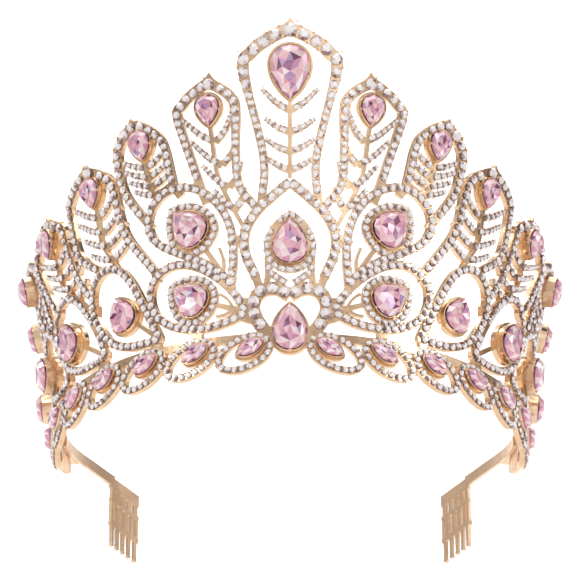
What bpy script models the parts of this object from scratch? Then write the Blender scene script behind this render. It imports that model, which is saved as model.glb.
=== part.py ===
"""Crystal crown: one cast openwork ring of peacock feathers, its pink crystals and two side combs.

The pattern is drawn on a card that wraps round the ring: a card point is an angle in degrees from the
middle of the front and a height as a share of the middle feather's height. The drawing is joined into
one outline, bent to the flared ring and given its thickness, and the ring leans back as it is worn.
"""
import math
from collections import namedtuple

import bmesh
import bpy
import numpy as np
from mathutils import Matrix, Vector
from mathutils.geometry import delaunay_2d_cdt

# Ring, in metres and degrees; radii are of the casting's face
BAND_RADIUS = 0.076
FRONT_HEIGHT = 0.106
FLARE = 0.025
FLARE_POWER = 1.8
METAL = 0.0018
WORN_TILT = 22.0

# Strips of the casting, in metres
MIDDLE_ARCH_WIDTH = 0.0042
ARCH_WIDTH = 0.0035
ARCH_FOOT_WIDTH = 0.0027
ARCH_WIDENS = (0.52, 0.76)
STEM_WIDTH = 0.0013
BARB_WIDTH = 0.0025
BARB_TIP_WIDTH = 0.0013
EYE_WIDTH = 0.0027
OGEE_WIDTH = 0.0031
HEART_WIDTH = 0.0043
SCALLOP_WIDTH = 0.0023
RAIL_WIDTH = 0.0026
STALK_WIDTH = 0.0018
MIDDLE_SPIKE = 0.0088
SIDE_SPIKE = 0.0070
CUTTING_STEP = 0.0046
JOIN_WITHIN = 2e-5
STRAIGHT_WITHIN = math.radians(7.0)
SMALLEST_BEND = 0.0002
LONGEST_CHORD = 0.006
LOOP_SAMPLES = 96
PINCH_PASSES = 6
PINCH_BEAD = 0.0007

# Feathers and eyes: lengths that the tables' shares follow, in metres
FEATHER_HALF_WIDTH = 0.0144
EYE_HALF_WIDTH = 0.0105

# Settings and stones, in metres
SEAT_RIM = 0.0008
SEAT_HEIGHT = 0.0003
OUTER_SEAT_HEIGHT = 0.0026
SEATS_RISE = (50.0, 80.0)
HALO_WIDTH = 0.0022
STONE_GAP = 0.0003
CRYSTAL_HEIGHT = 0.0028
GIRDLE_SHARE = 0.36
TABLE_SHARE = 0.58
CULET_SHARE = 0.84
MIDDLE_RHINESTONE = 0.0036
HEART_RHINESTONE = 0.0034
BEAD_GAP = 0.0004
MIDDLE_STONED = (0.32, 0.68)
RHINESTONE_CROWN = 0.0008
RHINESTONE_SIDES = 6

# Combs, in metres and degrees; heights are shares of FRONT_HEIGHT
COMB_SHEET = 0.0011
COMB_RADIUS = BAND_RADIUS - METAL - COMB_SHEET - 0.0003
COMB_START = 124.6
COMB_ARC = 10.9
COMB_DROP = 0.030
COMB_TINES = 5
ARM_WIDTH = 0.0036
ARM = ((93.0, 0.078), (104.5, 0.090), (114.0, 0.098), (120.0, 0.096), (126.0, 0.088))
SPINE_TOP = 0.101
UPPER_SLITS = (0.063, 0.030)
LOWER_SLITS = (0.018, -0.052)
SLIT_OVERLAP = 0.01
TINE_ROOT_WIDTH = 0.0016
TINE_TIPS = -0.122
SLIT_WIDTH = 0.0011
TINE_WIDTH = 0.0014
TINE_TIP_WIDTH = 0.0011
TINE_BEAD = 0.0015

# Band of scallops
SCALLOPS = 8
FIRST_SCALLOP = 11.8
SCALLOP_PITCH = 13.1
SCALLOP_POINT = (4.8, 0.013)
SCALLOP_HEAD = (-7.0, 0.074)
SCALLOP_HALF_WIDTH = 0.0047
SCALLOP_TAPER = 0.1
LAST_SCALLOP = 0.62
BAND_CRYSTAL = (-2.8, 0.057)
BAND_CRYSTAL_TURN = 62.0
RAIL_HEIGHT = 0.090

# Feathers. Angles in degrees; heights as shares of FRONT_HEIGHT; widths as shares of
# FEATHER_HALF_WIDTH. A row has the tip, the top of the arch, its widest place, its neck, the crystal,
# the foot of the stem and the feet of the arch's two sides.
Feather = namedtuple("Feather", "tip top head half neck neck_half crystal stem inner outer")
FEATHERS = [Feather(*row) for row in (
    ((15.3, 0.872), (15.8, 0.838), (16.7, 0.752), 0.655, (15.2, 0.56), 0.43,
     (16.1, 0.764), (10.0, 0.418), (7.6, 0.480), (18.1, 0.503)),
    ((33.0, 0.790), (32.4, 0.765), (32.0, 0.675), 0.625, (31.2, 0.58), 0.61,
     (31.3, 0.703), (28.8, 0.535), (23.8, 0.535), (31.6, 0.462)),
    ((47.0, 0.714), (46.8, 0.686), (47.4, 0.600), 0.757, (46.3, 0.468), 0.77,
     (45.9, 0.622), (41.6, 0.370), (32.0, 0.335), (47.0, 0.385)),
    ((64.0, 0.645), (64.6, 0.618), (67.2, 0.540), 0.880, (64.4, 0.430), 0.76,
     (64.2, 0.560), (54.0, 0.305), (51.5, 0.315), (67.0, 0.345)),
    ((83.5, 0.622), (83.6, 0.598), (85.0, 0.525), 0.800, (82.4, 0.420), 0.70,
     (83.6, 0.524), (75.0, 0.310), (73.0, 0.335), (88.0, 0.330)),
    ((99.0, 0.540), (99.2, 0.515), (100.2, 0.450), 0.740, (98.0, 0.360), 0.62,
     (99.0, 0.462), (92.5, 0.270), (90.0, 0.290), (101.5, 0.250)),
)]
MIDDLE_FEATHER = Feather(
    (0.0, 1.007), (0.0, 0.972), (0.0, 0.862), 1.01, (0.0, 0.620), 0.57,
    (0.0, 0.856), (0.0, 0.560), (-6.1, 0.490), (6.1, 0.490),
)
# Rise from the widest place to the top, and the share of the width there
ARCH_SHAPE = ((0.0, 1.0), (0.46, 0.85), (0.80, 0.45))
# Share of the spike's width, and how far up it that is
SPIKE_SHAPE = ((1.0, 0.0), (0.52, 0.34), (0.20, 0.66))

# Barbs on each stem: where they leave it and how high they end, as shares of the stem, and how far
# out they reach as a share of the room there
MIDDLE_BARBS = ((0.02, 0.20, 0.90), (0.28, 0.46, 0.80), (0.55, 0.74, 0.70), (0.85, 1.15, 0.66))
SIDE_BARBS = ((0.06, 0.30, 0.80), (0.31, 0.58, 0.88), (0.56, 0.87, 0.92), (0.82, 1.12, 0.86))

# Eyes of the tail: point and far end of the loop, width share, taper, bow of its spine as a share
# of its length, the crystal and its lean from upright in degrees
Eye = namedtuple("Eye", "point end half taper bow crystal leans")
EYES = [Eye(*row) for row in (
    ((13.4, 0.252), (28.6, 0.540), 1.00, 1.5, 0.10, (22.5, 0.440), 38.0),
    ((10.3, 0.170), (33.0, 0.285), 0.94, 0.6, -0.02, (23.2, 0.228), 52.0),
    ((31.8, 0.130), (49.6, 0.366), 0.90, 0.8, -0.09, (41.5, 0.234), 16.0),
    ((48.6, 0.135), (69.0, 0.345), 0.98, 0.8, -0.05, (61.4, 0.236), 12.0),
    ((66.0, 0.135), (85.5, 0.320), 0.92, 0.8, -0.05, (78.5, 0.222), 10.0),
    ((82.0, 0.125), (98.5, 0.270), 0.78, 0.8, -0.04, (92.0, 0.186), 8.0),
)]

# Half of the arched frame round the middle crystal, and half of the heart under it
OGEE = ((0.0, 0.549), (3.3, 0.512), (7.1, 0.467), (9.8, 0.410), (9.9, 0.345), (7.7, 0.272))
HEART = ((0.0, 0.214), (3.2, 0.236), (6.6, 0.228), (8.4, 0.190), (7.7, 0.148), (5.8, 0.110),
         (4.2, 0.085))
HALO_LACE = ((4.9, 0.330), (4.8, 0.292), (3.2, 0.272), (0.9, 0.252))

# Crystals in the middle: centre, width, length in metres and whether the point is down
TOP_CRYSTAL = ((0.0, 0.856), 0.0122, 0.0168)
MIDDLE_CRYSTAL = ((0.0, 0.374), 0.0106, 0.0138)
HEART_CRYSTAL = ((0.0, 0.117), 0.0104, 0.0150)
FEATHER_CRYSTAL = (0.0074, 0.0096)
EYE_CRYSTAL = (0.0112, 0.0128)
MARQUISE = (0.0046, 0.0090)
POINT_DOWN = 180.0
RINGED = ("crystal_middle", "crystal_eye_1", "crystal_eye_2")
CRYSTAL_TAPER = 0.75

# Short bars that tie the loops together, from card point to card point
BARS = (
    ((8.6, 0.150), (13.5, 0.175), 0.0040),
    ((9.0, 0.200), (12.5, 0.205), 0.0022),
    ((9.9, 0.390), (13.6, 0.370), 0.0034),
    ((7.7, 0.272), (6.6, 0.228), 0.0026),
    ((4.6, 0.300), (5.6, 0.228), 0.0020),
    ((5.8, 0.108), (5.6, 0.075), 0.0034),
    ((21.8, 0.128), (21.8, 0.088), 0.0034),
    ((32.4, 0.140), (33.0, 0.088), 0.0034),
    ((49.5, 0.140), (50.5, 0.088), 0.0034),
    ((67.2, 0.140), (68.0, 0.088), 0.0034),
    ((84.4, 0.130), (84.8, 0.088), 0.0034),
    ((32.0, 0.338), (31.6, 0.300), 0.0026),
    ((20.0, 0.310), (19.0, 0.330), 0.0034),
    ((51.0, 0.300), (52.0, 0.240), 0.0030),
    ((70.0, 0.310), (71.5, 0.230), 0.0030),
    ((87.5, 0.320), (88.0, 0.230), 0.0030),
)


def radius_at(share):
    """Radius of the casting's face at a height, given as a share of FRONT_HEIGHT."""
    return BAND_RADIUS + FLARE * max(share, 0.0) ** FLARE_POWER


def lean_at(share):
    """Angle from upright of the casting's wall at a height, in radians."""
    rise = FLARE * FLARE_POWER * max(share, 0.0) ** (FLARE_POWER - 1.0) / FRONT_HEIGHT
    return math.atan(rise)


def place(point, proud=0.0, radius=None):
    """Card point to a place on the upright ring, proud metres in front of its face."""
    angle = math.radians(point[0])
    lean = 0.0 if radius else lean_at(point[1])
    reach = (radius or radius_at(point[1])) + proud * math.cos(lean)
    return Vector((
        reach * math.sin(angle),
        -reach * math.cos(angle),
        point[1] * FRONT_HEIGHT - proud * math.sin(lean),
    ))


def across(metres, share):
    """Degrees round the ring for a length along it."""
    return math.degrees(metres / radius_at(share))


def up(metres, share):
    """Share of height for a length up the wall."""
    return metres * math.cos(lean_at(share)) / FRONT_HEIGHT


def moved(point, sideways, upwards):
    """Card point moved by lengths in metres."""
    return (point[0] + across(sideways, point[1]), point[1] + up(upwards, point[1]))


def between(start, end):
    """Vector in metres from one card point to another."""
    share = 0.5 * (start[1] + end[1])
    return Vector((
        math.radians(end[0] - start[0]) * radius_at(share),
        (end[1] - start[1]) * FRONT_HEIGHT / math.cos(lean_at(share)),
    ))


def mixed(start, end, share):
    """Card point part of the way from start to end."""
    return (
        start[0] + (end[0] - start[0]) * share,
        start[1] + (end[1] - start[1]) * share,
    )


def mirrored(points):
    """The same path on the other side of the crown."""
    return [(-angle, share) for angle, share in points]


def smooth(points, step=CUTTING_STEP):
    """Curve through the points, sampled about every step metres."""
    ends = [mixed(points[0], points[1], -1.0)] + list(points) + [mixed(points[-1], points[-2], -1.0)]
    path = [points[0]]
    for before, start, end, after in zip(ends, ends[1:], ends[2:], ends[3:]):
        count = max(1, round(between(start, end).length / step))
        for index in range(1, count + 1):
            t = index / count
            weights = (
                -0.5 * t ** 3 + t ** 2 - 0.5 * t,
                1.5 * t ** 3 - 2.5 * t ** 2 + 1.0,
                -1.5 * t ** 3 + 2.0 * t ** 2 + 0.5 * t,
                0.5 * t ** 3 - 0.5 * t ** 2,
            )
            corners = (before, start, end, after)
            path.append(tuple(sum(w * c[axis] for w, c in zip(weights, corners)) for axis in (0, 1)))
    return path


def lengths_along(path):
    """Running length of a path at each of its points, in metres."""
    run = [0.0]
    for start, end in zip(path, path[1:]):
        run.append(run[-1] + between(start, end).length)
    return run


def point_along(path, distance):
    """Card point and direction at a distance along a path."""
    run = lengths_along(path)
    index = 0
    while index < len(path) - 2 and run[index + 1] < distance:
        index += 1
    span = max(run[index + 1] - run[index], 1e-9)
    spot = mixed(path[index], path[index + 1], (distance - run[index]) / span)
    return spot, between(path[index], path[index + 1]).normalized()


def strip(path, start_width, end_width=None, widens=(0.0, 1.0)):
    """Outline of a strip along a path; widens is the part of it where its width changes."""
    end_width = start_width if end_width is None else end_width
    run = lengths_along(path)
    left = []
    right = []
    for index, point in enumerate(path):
        before = path[max(index - 1, 0)]
        after = path[min(index + 1, len(path) - 1)]
        direction = between(before, after).normalized()
        half = 0.5 * width_at(run[index] / run[-1], start_width, end_width, widens)
        left.append(moved(point, -direction.y * half, direction.x * half))
        right.append(moved(point, direction.y * half, -direction.x * half))
    return left + right[::-1]


def width_at(share, start_width, end_width, widens):
    """Width of a strip at a share of its path."""
    grown = min(max((share - widens[0]) / (widens[1] - widens[0]), 0.0), 1.0)
    return start_width + (end_width - start_width) * grown


def loop_strips(path, width):
    """A closed path as two strips that overlap at the far end, and a round join at its point."""
    half = len(path) // 2
    return [
        strip(path[: half + 2], width),
        strip(path[half:], width),
        round_outline(path[0], width, 10),
    ]


def evenly(path, step):
    """The same path with its points spaced evenly, about step metres apart."""
    total = lengths_along(path)[-1]
    count = max(8, round(total / step))
    inner = [point_along(path, total * index / count)[0] for index in range(1, count)]
    return [path[0]] + inner + [path[-1]]


def teardrop(point, end, half_width, taper, bow=0.0, step=CUTTING_STEP):
    """Closed loop from its point round the far end and back; taper pinches the pointed half."""
    axis = between(point, end)
    peak = (1.0 + taper) / (2.0 + taper)
    highest = peak ** (0.5 * (1.0 + taper)) * math.sqrt(1.0 - peak)
    side = Vector((-axis.y, axis.x)) / axis.length
    path = []
    for index in range(LOOP_SAMPLES + 1):
        turn = 2.0 * math.pi * index / LOOP_SAMPLES
        along = 0.5 * (1.0 - math.cos(turn))
        width = half_width * along ** (0.5 * (1.0 + taper)) * math.sqrt(max(1.0 - along, 0.0)) / highest
        width = width if turn < math.pi else -width
        arch = 1.6 * bow * axis.length * math.sin(math.pi * along) * (1.0 - along)
        spot = axis * along + side * (width + arch)
        path.append(moved(point, spot.x, spot.y))
    return evenly(path, step)


def pear_outline(centre, width, length, turn, sides=12, grow=0.0, taper=CRYSTAL_TAPER):
    """Pear outline round a card point; at turn 0 the point is up."""
    peak = (1.0 + taper) / (2.0 + taper)
    highest = peak ** (0.5 * (1.0 + taper)) * math.sqrt(1.0 - peak)
    outline = []
    for index in range(sides):
        angle = 2.0 * math.pi * index / sides
        along = 0.5 * (1.0 - math.cos(angle))
        bulge = along ** (0.5 * (1.0 + taper)) * math.sqrt(max(1.0 - along, 0.0)) / highest
        bulge = bulge if angle < math.pi else -bulge
        outline.append(Vector((0.5 * width * bulge, length * (0.5 - along))))
    return set_round(centre, outline, turn, grow)


def marquise_outline(centre, width, length, turn, sides=10, grow=0.0):
    """Boat-shaped outline round a card point; at turn 0 it stands upright."""
    outline = []
    for index in range(sides):
        angle = 2.0 * math.pi * index / sides
        x = 0.5 * width * math.sin(angle) * abs(math.sin(angle)) ** 0.35
        outline.append(Vector((x, 0.5 * length * math.cos(angle))))
    return set_round(centre, outline, turn, grow)


def round_outline(centre, diameter, sides):
    """Round outline about a card point."""
    corners = [2.0 * math.pi * index / sides for index in range(sides)]
    return [
        moved(centre, 0.5 * diameter * math.cos(angle), 0.5 * diameter * math.sin(angle))
        for angle in corners
    ]


def set_round(centre, outline, turn, grow):
    """Local outline in metres, grown outwards and turned, as card points round centre."""
    spin = Matrix.Rotation(math.radians(turn), 2)
    spots = []
    for corner in outline:
        reach = corner.length
        grown = corner * ((reach + grow) / reach) if reach else corner
        spot = spin @ grown
        spots.append(moved(centre, spot.x, spot.y))
    return spots


def feather_paths(row):
    """Arch and stem of one feather."""
    sides = []
    for side, foot in ((-FEATHER_HALF_WIDTH, row.inner), (FEATHER_HALF_WIDTH, row.outer)):
        points = [foot, moved(row.neck, side * row.neck_half, 0.0)]
        for rise, share in ARCH_SHAPE:
            points.append(moved(mixed(row.head, row.top, rise), side * row.half * share, 0.0))
        sides.append(points)
    arch = smooth(sides[0] + [row.top] + sides[1][::-1])
    low, high = mixed(row.stem, row.neck, 0.60), mixed(row.neck, stem_top(row), 0.15)
    spine = smooth([row.stem, low, high, stem_top(row)])
    return arch, spine


def stem_top(row):
    """Where a feather's stem meets its crystal."""
    length = TOP_CRYSTAL[2] if row is MIDDLE_FEATHER else FEATHER_CRYSTAL[1]
    return moved(row.crystal, 0.0, -0.5 * length)


def barb_paths(row, barbs):
    """Curved barbs that leave a feather's stem on both sides."""
    foot = mixed(row.stem, row.neck, 0.30)
    paths = []
    for leaves, ends, reach in barbs:
        start = mixed(foot, stem_top(row), leaves)
        end = mixed(foot, stem_top(row), ends)
        share = min(max((end[1] - row.neck[1]) / (row.head[1] - row.neck[1]), 0.0), 1.0)
        room = FEATHER_HALF_WIDTH * (row.neck_half + (row.half - row.neck_half) * share) * reach
        for side in (-1.0, 1.0):
            far = moved(end, side * room, 0.0)
            middle = moved(mixed(start, end, 0.36), side * room * 0.50, 0.0)
            paths.append(smooth([start, middle, far]))
    return paths


def spike(row, width):
    """Pointed tip of a feather, drawn in from both sides."""
    low = mixed(row.top, row.tip, 0.10)
    outline = [
        moved(mixed(low, row.tip, rise), 0.5 * share * width, 0.0) for share, rise in SPIKE_SHAPE
    ]
    outline.append(row.tip)
    outline += [
        moved(mixed(low, row.tip, rise), -0.5 * share * width, 0.0)
        for share, rise in reversed(SPIKE_SHAPE)
    ]
    return outline


def both_sides(paths):
    """Each path and its mirror image."""
    return [path for item in paths for path in (item, mirrored(item))]


def crystal_rows():
    """Name, centre, shape, width, length and turn of each pink crystal."""
    rows = []
    for name, (centre, width, length), turn in (
        ("crystal_top", TOP_CRYSTAL, POINT_DOWN),
        ("crystal_middle", MIDDLE_CRYSTAL, 0.0),
        ("crystal_heart", HEART_CRYSTAL, 0.0),
    ):
        rows.append((name, centre, "pear", width, length, turn))
    for side, sign in (("right", 1.0), ("left", -1.0)):
        for index, row in enumerate(FEATHERS, 1):
            rows.append((
                f"crystal_feather_{index}_{side}", (sign * row.crystal[0], row.crystal[1]), "pear",
                *FEATHER_CRYSTAL, POINT_DOWN,
            ))
        for index, eye in enumerate(EYES, 1):
            rows.append((
                f"crystal_eye_{index}_{side}", (sign * eye.crystal[0], eye.crystal[1]), "pear",
                EYE_CRYSTAL[0] * eye.half, EYE_CRYSTAL[1] * eye.half, -eye.leans * sign,
            ))
        for index in range(SCALLOPS):
            angle = FIRST_SCALLOP + SCALLOP_PITCH * index + BAND_CRYSTAL[0]
            rows.append((
                f"crystal_band_{index + 1}_{side}", (sign * angle, BAND_CRYSTAL[1]), "marquise",
                *MARQUISE, BAND_CRYSTAL_TURN * sign,
            ))
    return rows


def seat_height(row):
    """How far a crystal's seat stands up; the pears' seats rise towards the ends of the crown."""
    name, centre, shape, width, length, turn = row
    if shape != "pear":
        return SEAT_HEIGHT
    return width_at(abs(centre[0]), SEAT_HEIGHT, OUTER_SEAT_HEIGHT, SEATS_RISE)


def crystal_outline(row, grow=0.0):
    """Outline of one crystal on the card."""
    name, centre, shape, width, length, turn = row
    if shape == "pear":
        return pear_outline(centre, width, length, turn, grow=grow)
    return marquise_outline(centre, width, length, turn, grow=grow)


def feather_outlines(row, barbs, width, spike_width):
    """Outlines of one feather, and its arch's path."""
    arch, spine = feather_paths(row)
    half = len(arch) // 2
    foot_width = min(width, ARCH_FOOT_WIDTH)
    pieces = [
        strip(arch[: half + 1], foot_width, width, ARCH_WIDENS),
        strip(arch[: half - 1 : -1], foot_width, width, ARCH_WIDENS),
        strip(spine, STEM_WIDTH),
        spike(row, spike_width),
    ]
    pieces += [strip(path, BARB_WIDTH, BARB_TIP_WIDTH) for path in barb_paths(row, barbs)]
    return pieces, arch


def scallop_path(index):
    """Loop of one scallop of the band, counted from the middle."""
    angle = FIRST_SCALLOP + SCALLOP_PITCH * index
    point = (angle + SCALLOP_POINT[0], SCALLOP_POINT[1])
    head = (angle + SCALLOP_HEAD[0], SCALLOP_HEAD[1])
    size = LAST_SCALLOP if index == SCALLOPS - 1 else 1.0
    return teardrop(mixed(head, point, size), head, SCALLOP_HALF_WIDTH * size, SCALLOP_TAPER)


def card_outlines():
    """Every outline of the casting, and the rows of rhinestones as (path, from, to, diameter)."""
    outlines, arch = feather_outlines(MIDDLE_FEATHER, MIDDLE_BARBS, MIDDLE_ARCH_WIDTH, MIDDLE_SPIKE)
    runs = [(arch, *MIDDLE_STONED, MIDDLE_RHINESTONE)]
    for row in FEATHERS:
        outlines += both_sides(feather_outlines(row, SIDE_BARBS, ARCH_WIDTH, SIDE_SPIKE)[0])
    for eye in EYES:
        loop = teardrop(eye.point, eye.end, eye.half * EYE_HALF_WIDTH, eye.taper, eye.bow)
        outlines += both_sides(loop_strips(loop, EYE_WIDTH))
        stalk = smooth([mixed(eye.point, eye.crystal, 0.04), eye.crystal])
        outlines += both_sides([strip(stalk, STALK_WIDTH, STEM_WIDTH)])
    heart = smooth(HEART)
    outlines += both_sides([
        strip(smooth(OGEE), OGEE_WIDTH),
        strip(heart, HEART_WIDTH),
        strip(smooth(HALO_LACE), HALO_WIDTH),
    ])
    runs += [(path, 0.0, 0.86, HEART_RHINESTONE) for path in (heart, mirrored(heart))]
    for index in range(SCALLOPS):
        outlines += both_sides(loop_strips(scallop_path(index), SCALLOP_WIDTH))
    last = FIRST_SCALLOP + SCALLOP_PITCH * (SCALLOPS - 1)
    rail = smooth([(FIRST_SCALLOP - 6.5, RAIL_HEIGHT), (last + 1.5, RAIL_HEIGHT)], 3.0 * CUTTING_STEP)
    outlines += both_sides([strip(rail, RAIL_WIDTH)])
    for start, end, width in BARS:
        outlines += both_sides([strip([start, end], width)])
    for row in crystal_rows():
        halo = HALO_WIDTH if row[0].startswith(RINGED) else 0.0
        outlines.append(crystal_outline(row, SEAT_RIM + STONE_GAP + halo))
    return outlines, runs


def rhinestones_on(run):
    """Centres and diameter of the stones along a part of a path, evenly spaced."""
    path, first, last, diameter = run
    total = lengths_along(path)[-1]
    pitch = diameter + BEAD_GAP
    count = int((last - first) * total / pitch)
    start = 0.5 * (first + last) * total - 0.5 * pitch * (count - 1)
    return [(point_along(path, start + pitch * index)[0], diameter) for index in range(count)]


def flat(point):
    """Card point as plane coordinates for the outline work."""
    return Vector((math.radians(point[0]) * BAND_RADIUS, point[1] * FRONT_HEIGHT))


def unflat(spot):
    """Plane coordinates back to a card point."""
    return (math.degrees(spot[0] / BAND_RADIUS), spot[1] / FRONT_HEIGHT)


def anticlockwise(corners):
    """The corners in anticlockwise order, as the outline work needs them."""
    turns = sum(a.cross(b) for a, b in zip(corners, corners[1:] + corners[:1]))
    return corners if turns > 0.0 else corners[::-1]


def joined_outline(outlines):
    """Corners and edges of the one outline that all the drawn outlines make together."""
    outlines = list(outlines)
    for attempt in range(PINCH_PASSES):
        rim, pairs = outline_once(outlines)
        meeting = np.bincount(np.array(pairs).reshape(-1))
        pinched = [unflat(rim[index]) for index in np.nonzero(meeting > 2)[0]]
        if not pinched:
            break
        outlines += [round_outline(spot, PINCH_BEAD * (1.0 + attempt), 8) for spot in pinched]
    return simpler(rim, pairs)


def outline_once(outlines):
    """One round of joining: the rim's corners and its edges."""
    corners = []
    faces = []
    for outline in outlines:
        first = len(corners)
        corners += anticlockwise([flat(point) for point in outline])
        faces.append(list(range(first, len(corners))))
    spots, _, triangles, _, _, sources = delaunay_2d_cdt(corners, [], faces, 0, JOIN_WITHIN)
    sheet = bmesh.new()
    verts = [sheet.verts.new((spot.x, spot.y, 0.0)) for spot in spots]
    for triangle, source in zip(triangles, sources):
        if source:
            sheet.faces.new([verts[index] for index in triangle])
    bmesh.ops.dissolve_limit(
        sheet, angle_limit=STRAIGHT_WITHIN, verts=sheet.verts[:], edges=sheet.edges[:]
    )
    edges = [edge for edge in sheet.edges if len(edge.link_faces) == 1]
    used = {vert: index for index, vert in enumerate({v: None for e in edges for v in e.verts})}
    rim = [vert.co.xy for vert in used]
    pairs = [tuple(used[vert] for vert in edge.verts) for edge in edges]
    sheet.free()
    return rim, pairs


def simpler(rim, pairs):
    """The same outline without the corners that bend it by less than SMALLEST_BEND."""
    beside = [[] for _ in rim]
    for a, b in pairs:
        beside[a].append(b)
        beside[b].append(a)
    live = set(range(len(rim)))
    changed = True
    while changed:
        changed = False
        for index in sorted(live):
            before, after = beside[index]
            chord = rim[after] - rim[before]
            off = abs(chord.cross(rim[index] - rim[before])) / max(chord.length, 1e-9)
            if off > SMALLEST_BEND or chord.length > LONGEST_CHORD or after in beside[before]:
                continue
            for near, far in ((before, after), (after, before)):
                beside[near][beside[near].index(index)] = far
            live.discard(index)
            changed = True
    order = {index: place for place, index in enumerate(sorted(live))}
    kept = {tuple(sorted((order[index], order[near]))) for index in live for near in beside[index]}
    return [rim[index] for index in sorted(live)], sorted(kept)


def inside(spots, rim, pairs):
    """Which spots lie within the joined outline, by counting the edges to their right."""
    corners = np.array([tuple(corner) for corner in rim])
    start = corners[[a for a, b in pairs]]
    end = corners[[b for a, b in pairs]]
    spots = np.array(spots)
    crossing = (start[:, 1] > spots[:, 1:]) != (end[:, 1] > spots[:, 1:])
    rise = np.where(end[:, 1] == start[:, 1], 1.0, end[:, 1] - start[:, 1])
    at = start[:, 0] + (spots[:, 1:] - start[:, 1]) * (end[:, 0] - start[:, 0]) / rise
    return (crossing & (at > spots[:, :1])).sum(axis=1) % 2 == 1


def filled(rim, pairs, reliefs):
    """Triangles over the joined outline, with the relief outlines drawn in."""
    corners = [Vector(corner) for corner in rim]
    edges = list(pairs)
    for outline in reliefs:
        first = len(corners)
        corners += [flat(point) for point in outline]
        count = len(outline)
        edges += [(first + index, first + (index + 1) % count) for index in range(count)]
    spots, _, triangles, _, _, _ = delaunay_2d_cdt(corners, edges, [], 0, 1e-6)
    middles = [sum((spots[i] for i in triangle), Vector((0.0, 0.0))) / 3.0 for triangle in triangles]
    kept = inside([tuple(middle) for middle in middles], rim, pairs)
    return spots, [triangle for triangle, keep in zip(triangles, kept) if keep]


def open_edges(triangles):
    """Edges that only one triangle has, in that triangle's direction."""
    edges = {(face[i], face[i - 2]) for face in triangles for i in range(3)}
    return sorted(edge for edge in edges if edge[::-1] not in edges)


def material(name, colour, metallic, roughness):
    """Principled material of one finish."""
    finish = bpy.data.materials.get(name) or bpy.data.materials.new(name)
    finish.use_nodes = True
    shader = finish.node_tree.nodes["Principled BSDF"]
    shader.inputs["Base Color"].default_value = (*colour, 1.0)
    shader.inputs["Metallic"].default_value = metallic
    shader.inputs["Roughness"].default_value = roughness
    return finish


def finished(name, mesh, finish, seat, stands=None):
    """Mesh as a named object on the crown's seat."""
    piece = bpy.data.objects.new(name, mesh)
    piece.data.materials.append(finish)
    piece.parent = seat
    piece.matrix_local = stands or Matrix.Identity(4)
    seat.users_collection[0].objects.link(piece)
    return piece


def relief_height(stones):
    """Function of a plane point: how far the casting's face stands up there."""
    middles = np.array([tuple(flat(centre)) for centre, _ in stones])
    tables = np.array([0.5 * diameter * TABLE_SHARE for _, diameter in stones])

    def height(spot, seat_marks):
        if spot in seat_marks:
            return seat_marks[spot]
        gaps = middles - np.array(spot)
        near = np.nonzero(np.abs(gaps).max(axis=1) < MIDDLE_RHINESTONE)[0]
        for index in near:
            offset = between(unflat(middles[index]), unflat(spot))
            if offset.length < tables[index] * 1.02:
                return RHINESTONE_CROWN
        return 0.0

    return height


def build_casting(finish, seat):
    """The openwork ring: outline, relief, thickness and bend."""
    outlines, runs = card_outlines()
    stones = [stone for run in runs for stone in rhinestones_on(run)]
    rim, pairs = joined_outline(outlines)
    seats = [crystal_outline(row, STONE_GAP) for row in crystal_rows()]
    reliefs = []
    for centre, diameter in stones:
        reliefs.append(round_outline(centre, diameter, RHINESTONE_SIDES))
        reliefs.append(round_outline(centre, diameter * TABLE_SHARE, RHINESTONE_SIDES))
    seat_marks = {
        tuple(np.round(tuple(flat(point)), 7)): seat_height(row)
        for row, outline in zip(crystal_rows(), seats) for point in outline
    }
    height = relief_height(stones)
    sheet = bmesh.new()
    fronts, front_faces = filled(rim, pairs, reliefs + seats)
    rim_edges = open_edges(front_faces)
    rim_corners = sorted({index for edge in rim_edges for index in edge})
    order = {index: place for place, index in enumerate(rim_corners)}
    backs, back_faces = filled(
        [fronts[index] for index in rim_corners], [(order[a], order[b]) for a, b in rim_edges], []
    )
    top = {}
    for index in sorted({index for face in front_faces for index in face}):
        rise = height(tuple(np.round(tuple(fronts[index]), 7)), seat_marks)
        top[index] = sheet.verts.new(place(unflat(fronts[index]), rise))
    bottom = [sheet.verts.new(place(unflat(spot), -METAL)) for spot in backs]
    for face in front_faces:
        sheet.faces.new([top[index] for index in face])
    for face in back_faces:
        sheet.faces.new([bottom[index] for index in reversed(face)])
    for a, b in rim_edges:
        sheet.faces.new([top[b], top[a], bottom[order[a]], bottom[order[b]]])
    bmesh.ops.recalc_face_normals(sheet, faces=sheet.faces[:])
    bmesh.ops.triangulate(sheet, faces=sheet.faces[:])
    mesh = bpy.data.meshes.new("openwork_ring")
    sheet.to_mesh(mesh)
    sheet.free()
    return finished("openwork_ring", mesh, finish, seat)


def build_crystal(row, finish, seat):
    """One faceted crystal over its seat: flat back, girdle and table."""
    name, centre, shape, width, length, turn = row
    bottom = seat_height(row) + STONE_GAP
    levels = (
        (CULET_SHARE, bottom),
        (1.0, bottom + GIRDLE_SHARE * CRYSTAL_HEIGHT),
        (TABLE_SHARE, bottom + CRYSTAL_HEIGHT),
    )
    gem = bmesh.new()
    for share, proud in levels:
        sized = (name, centre, shape, width * share, length * share, turn)
        for point in crystal_outline(sized):
            offset = between(centre, point)
            gem.verts.new((offset.x, offset.y, proud))
    bmesh.ops.convex_hull(gem, input=gem.verts[:])
    bmesh.ops.recalc_face_normals(gem, faces=gem.faces[:])
    mesh = bpy.data.meshes.new(name)
    gem.to_mesh(mesh)
    gem.free()
    return finished(name, mesh, finish, seat, crystal_frame(centre))


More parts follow.
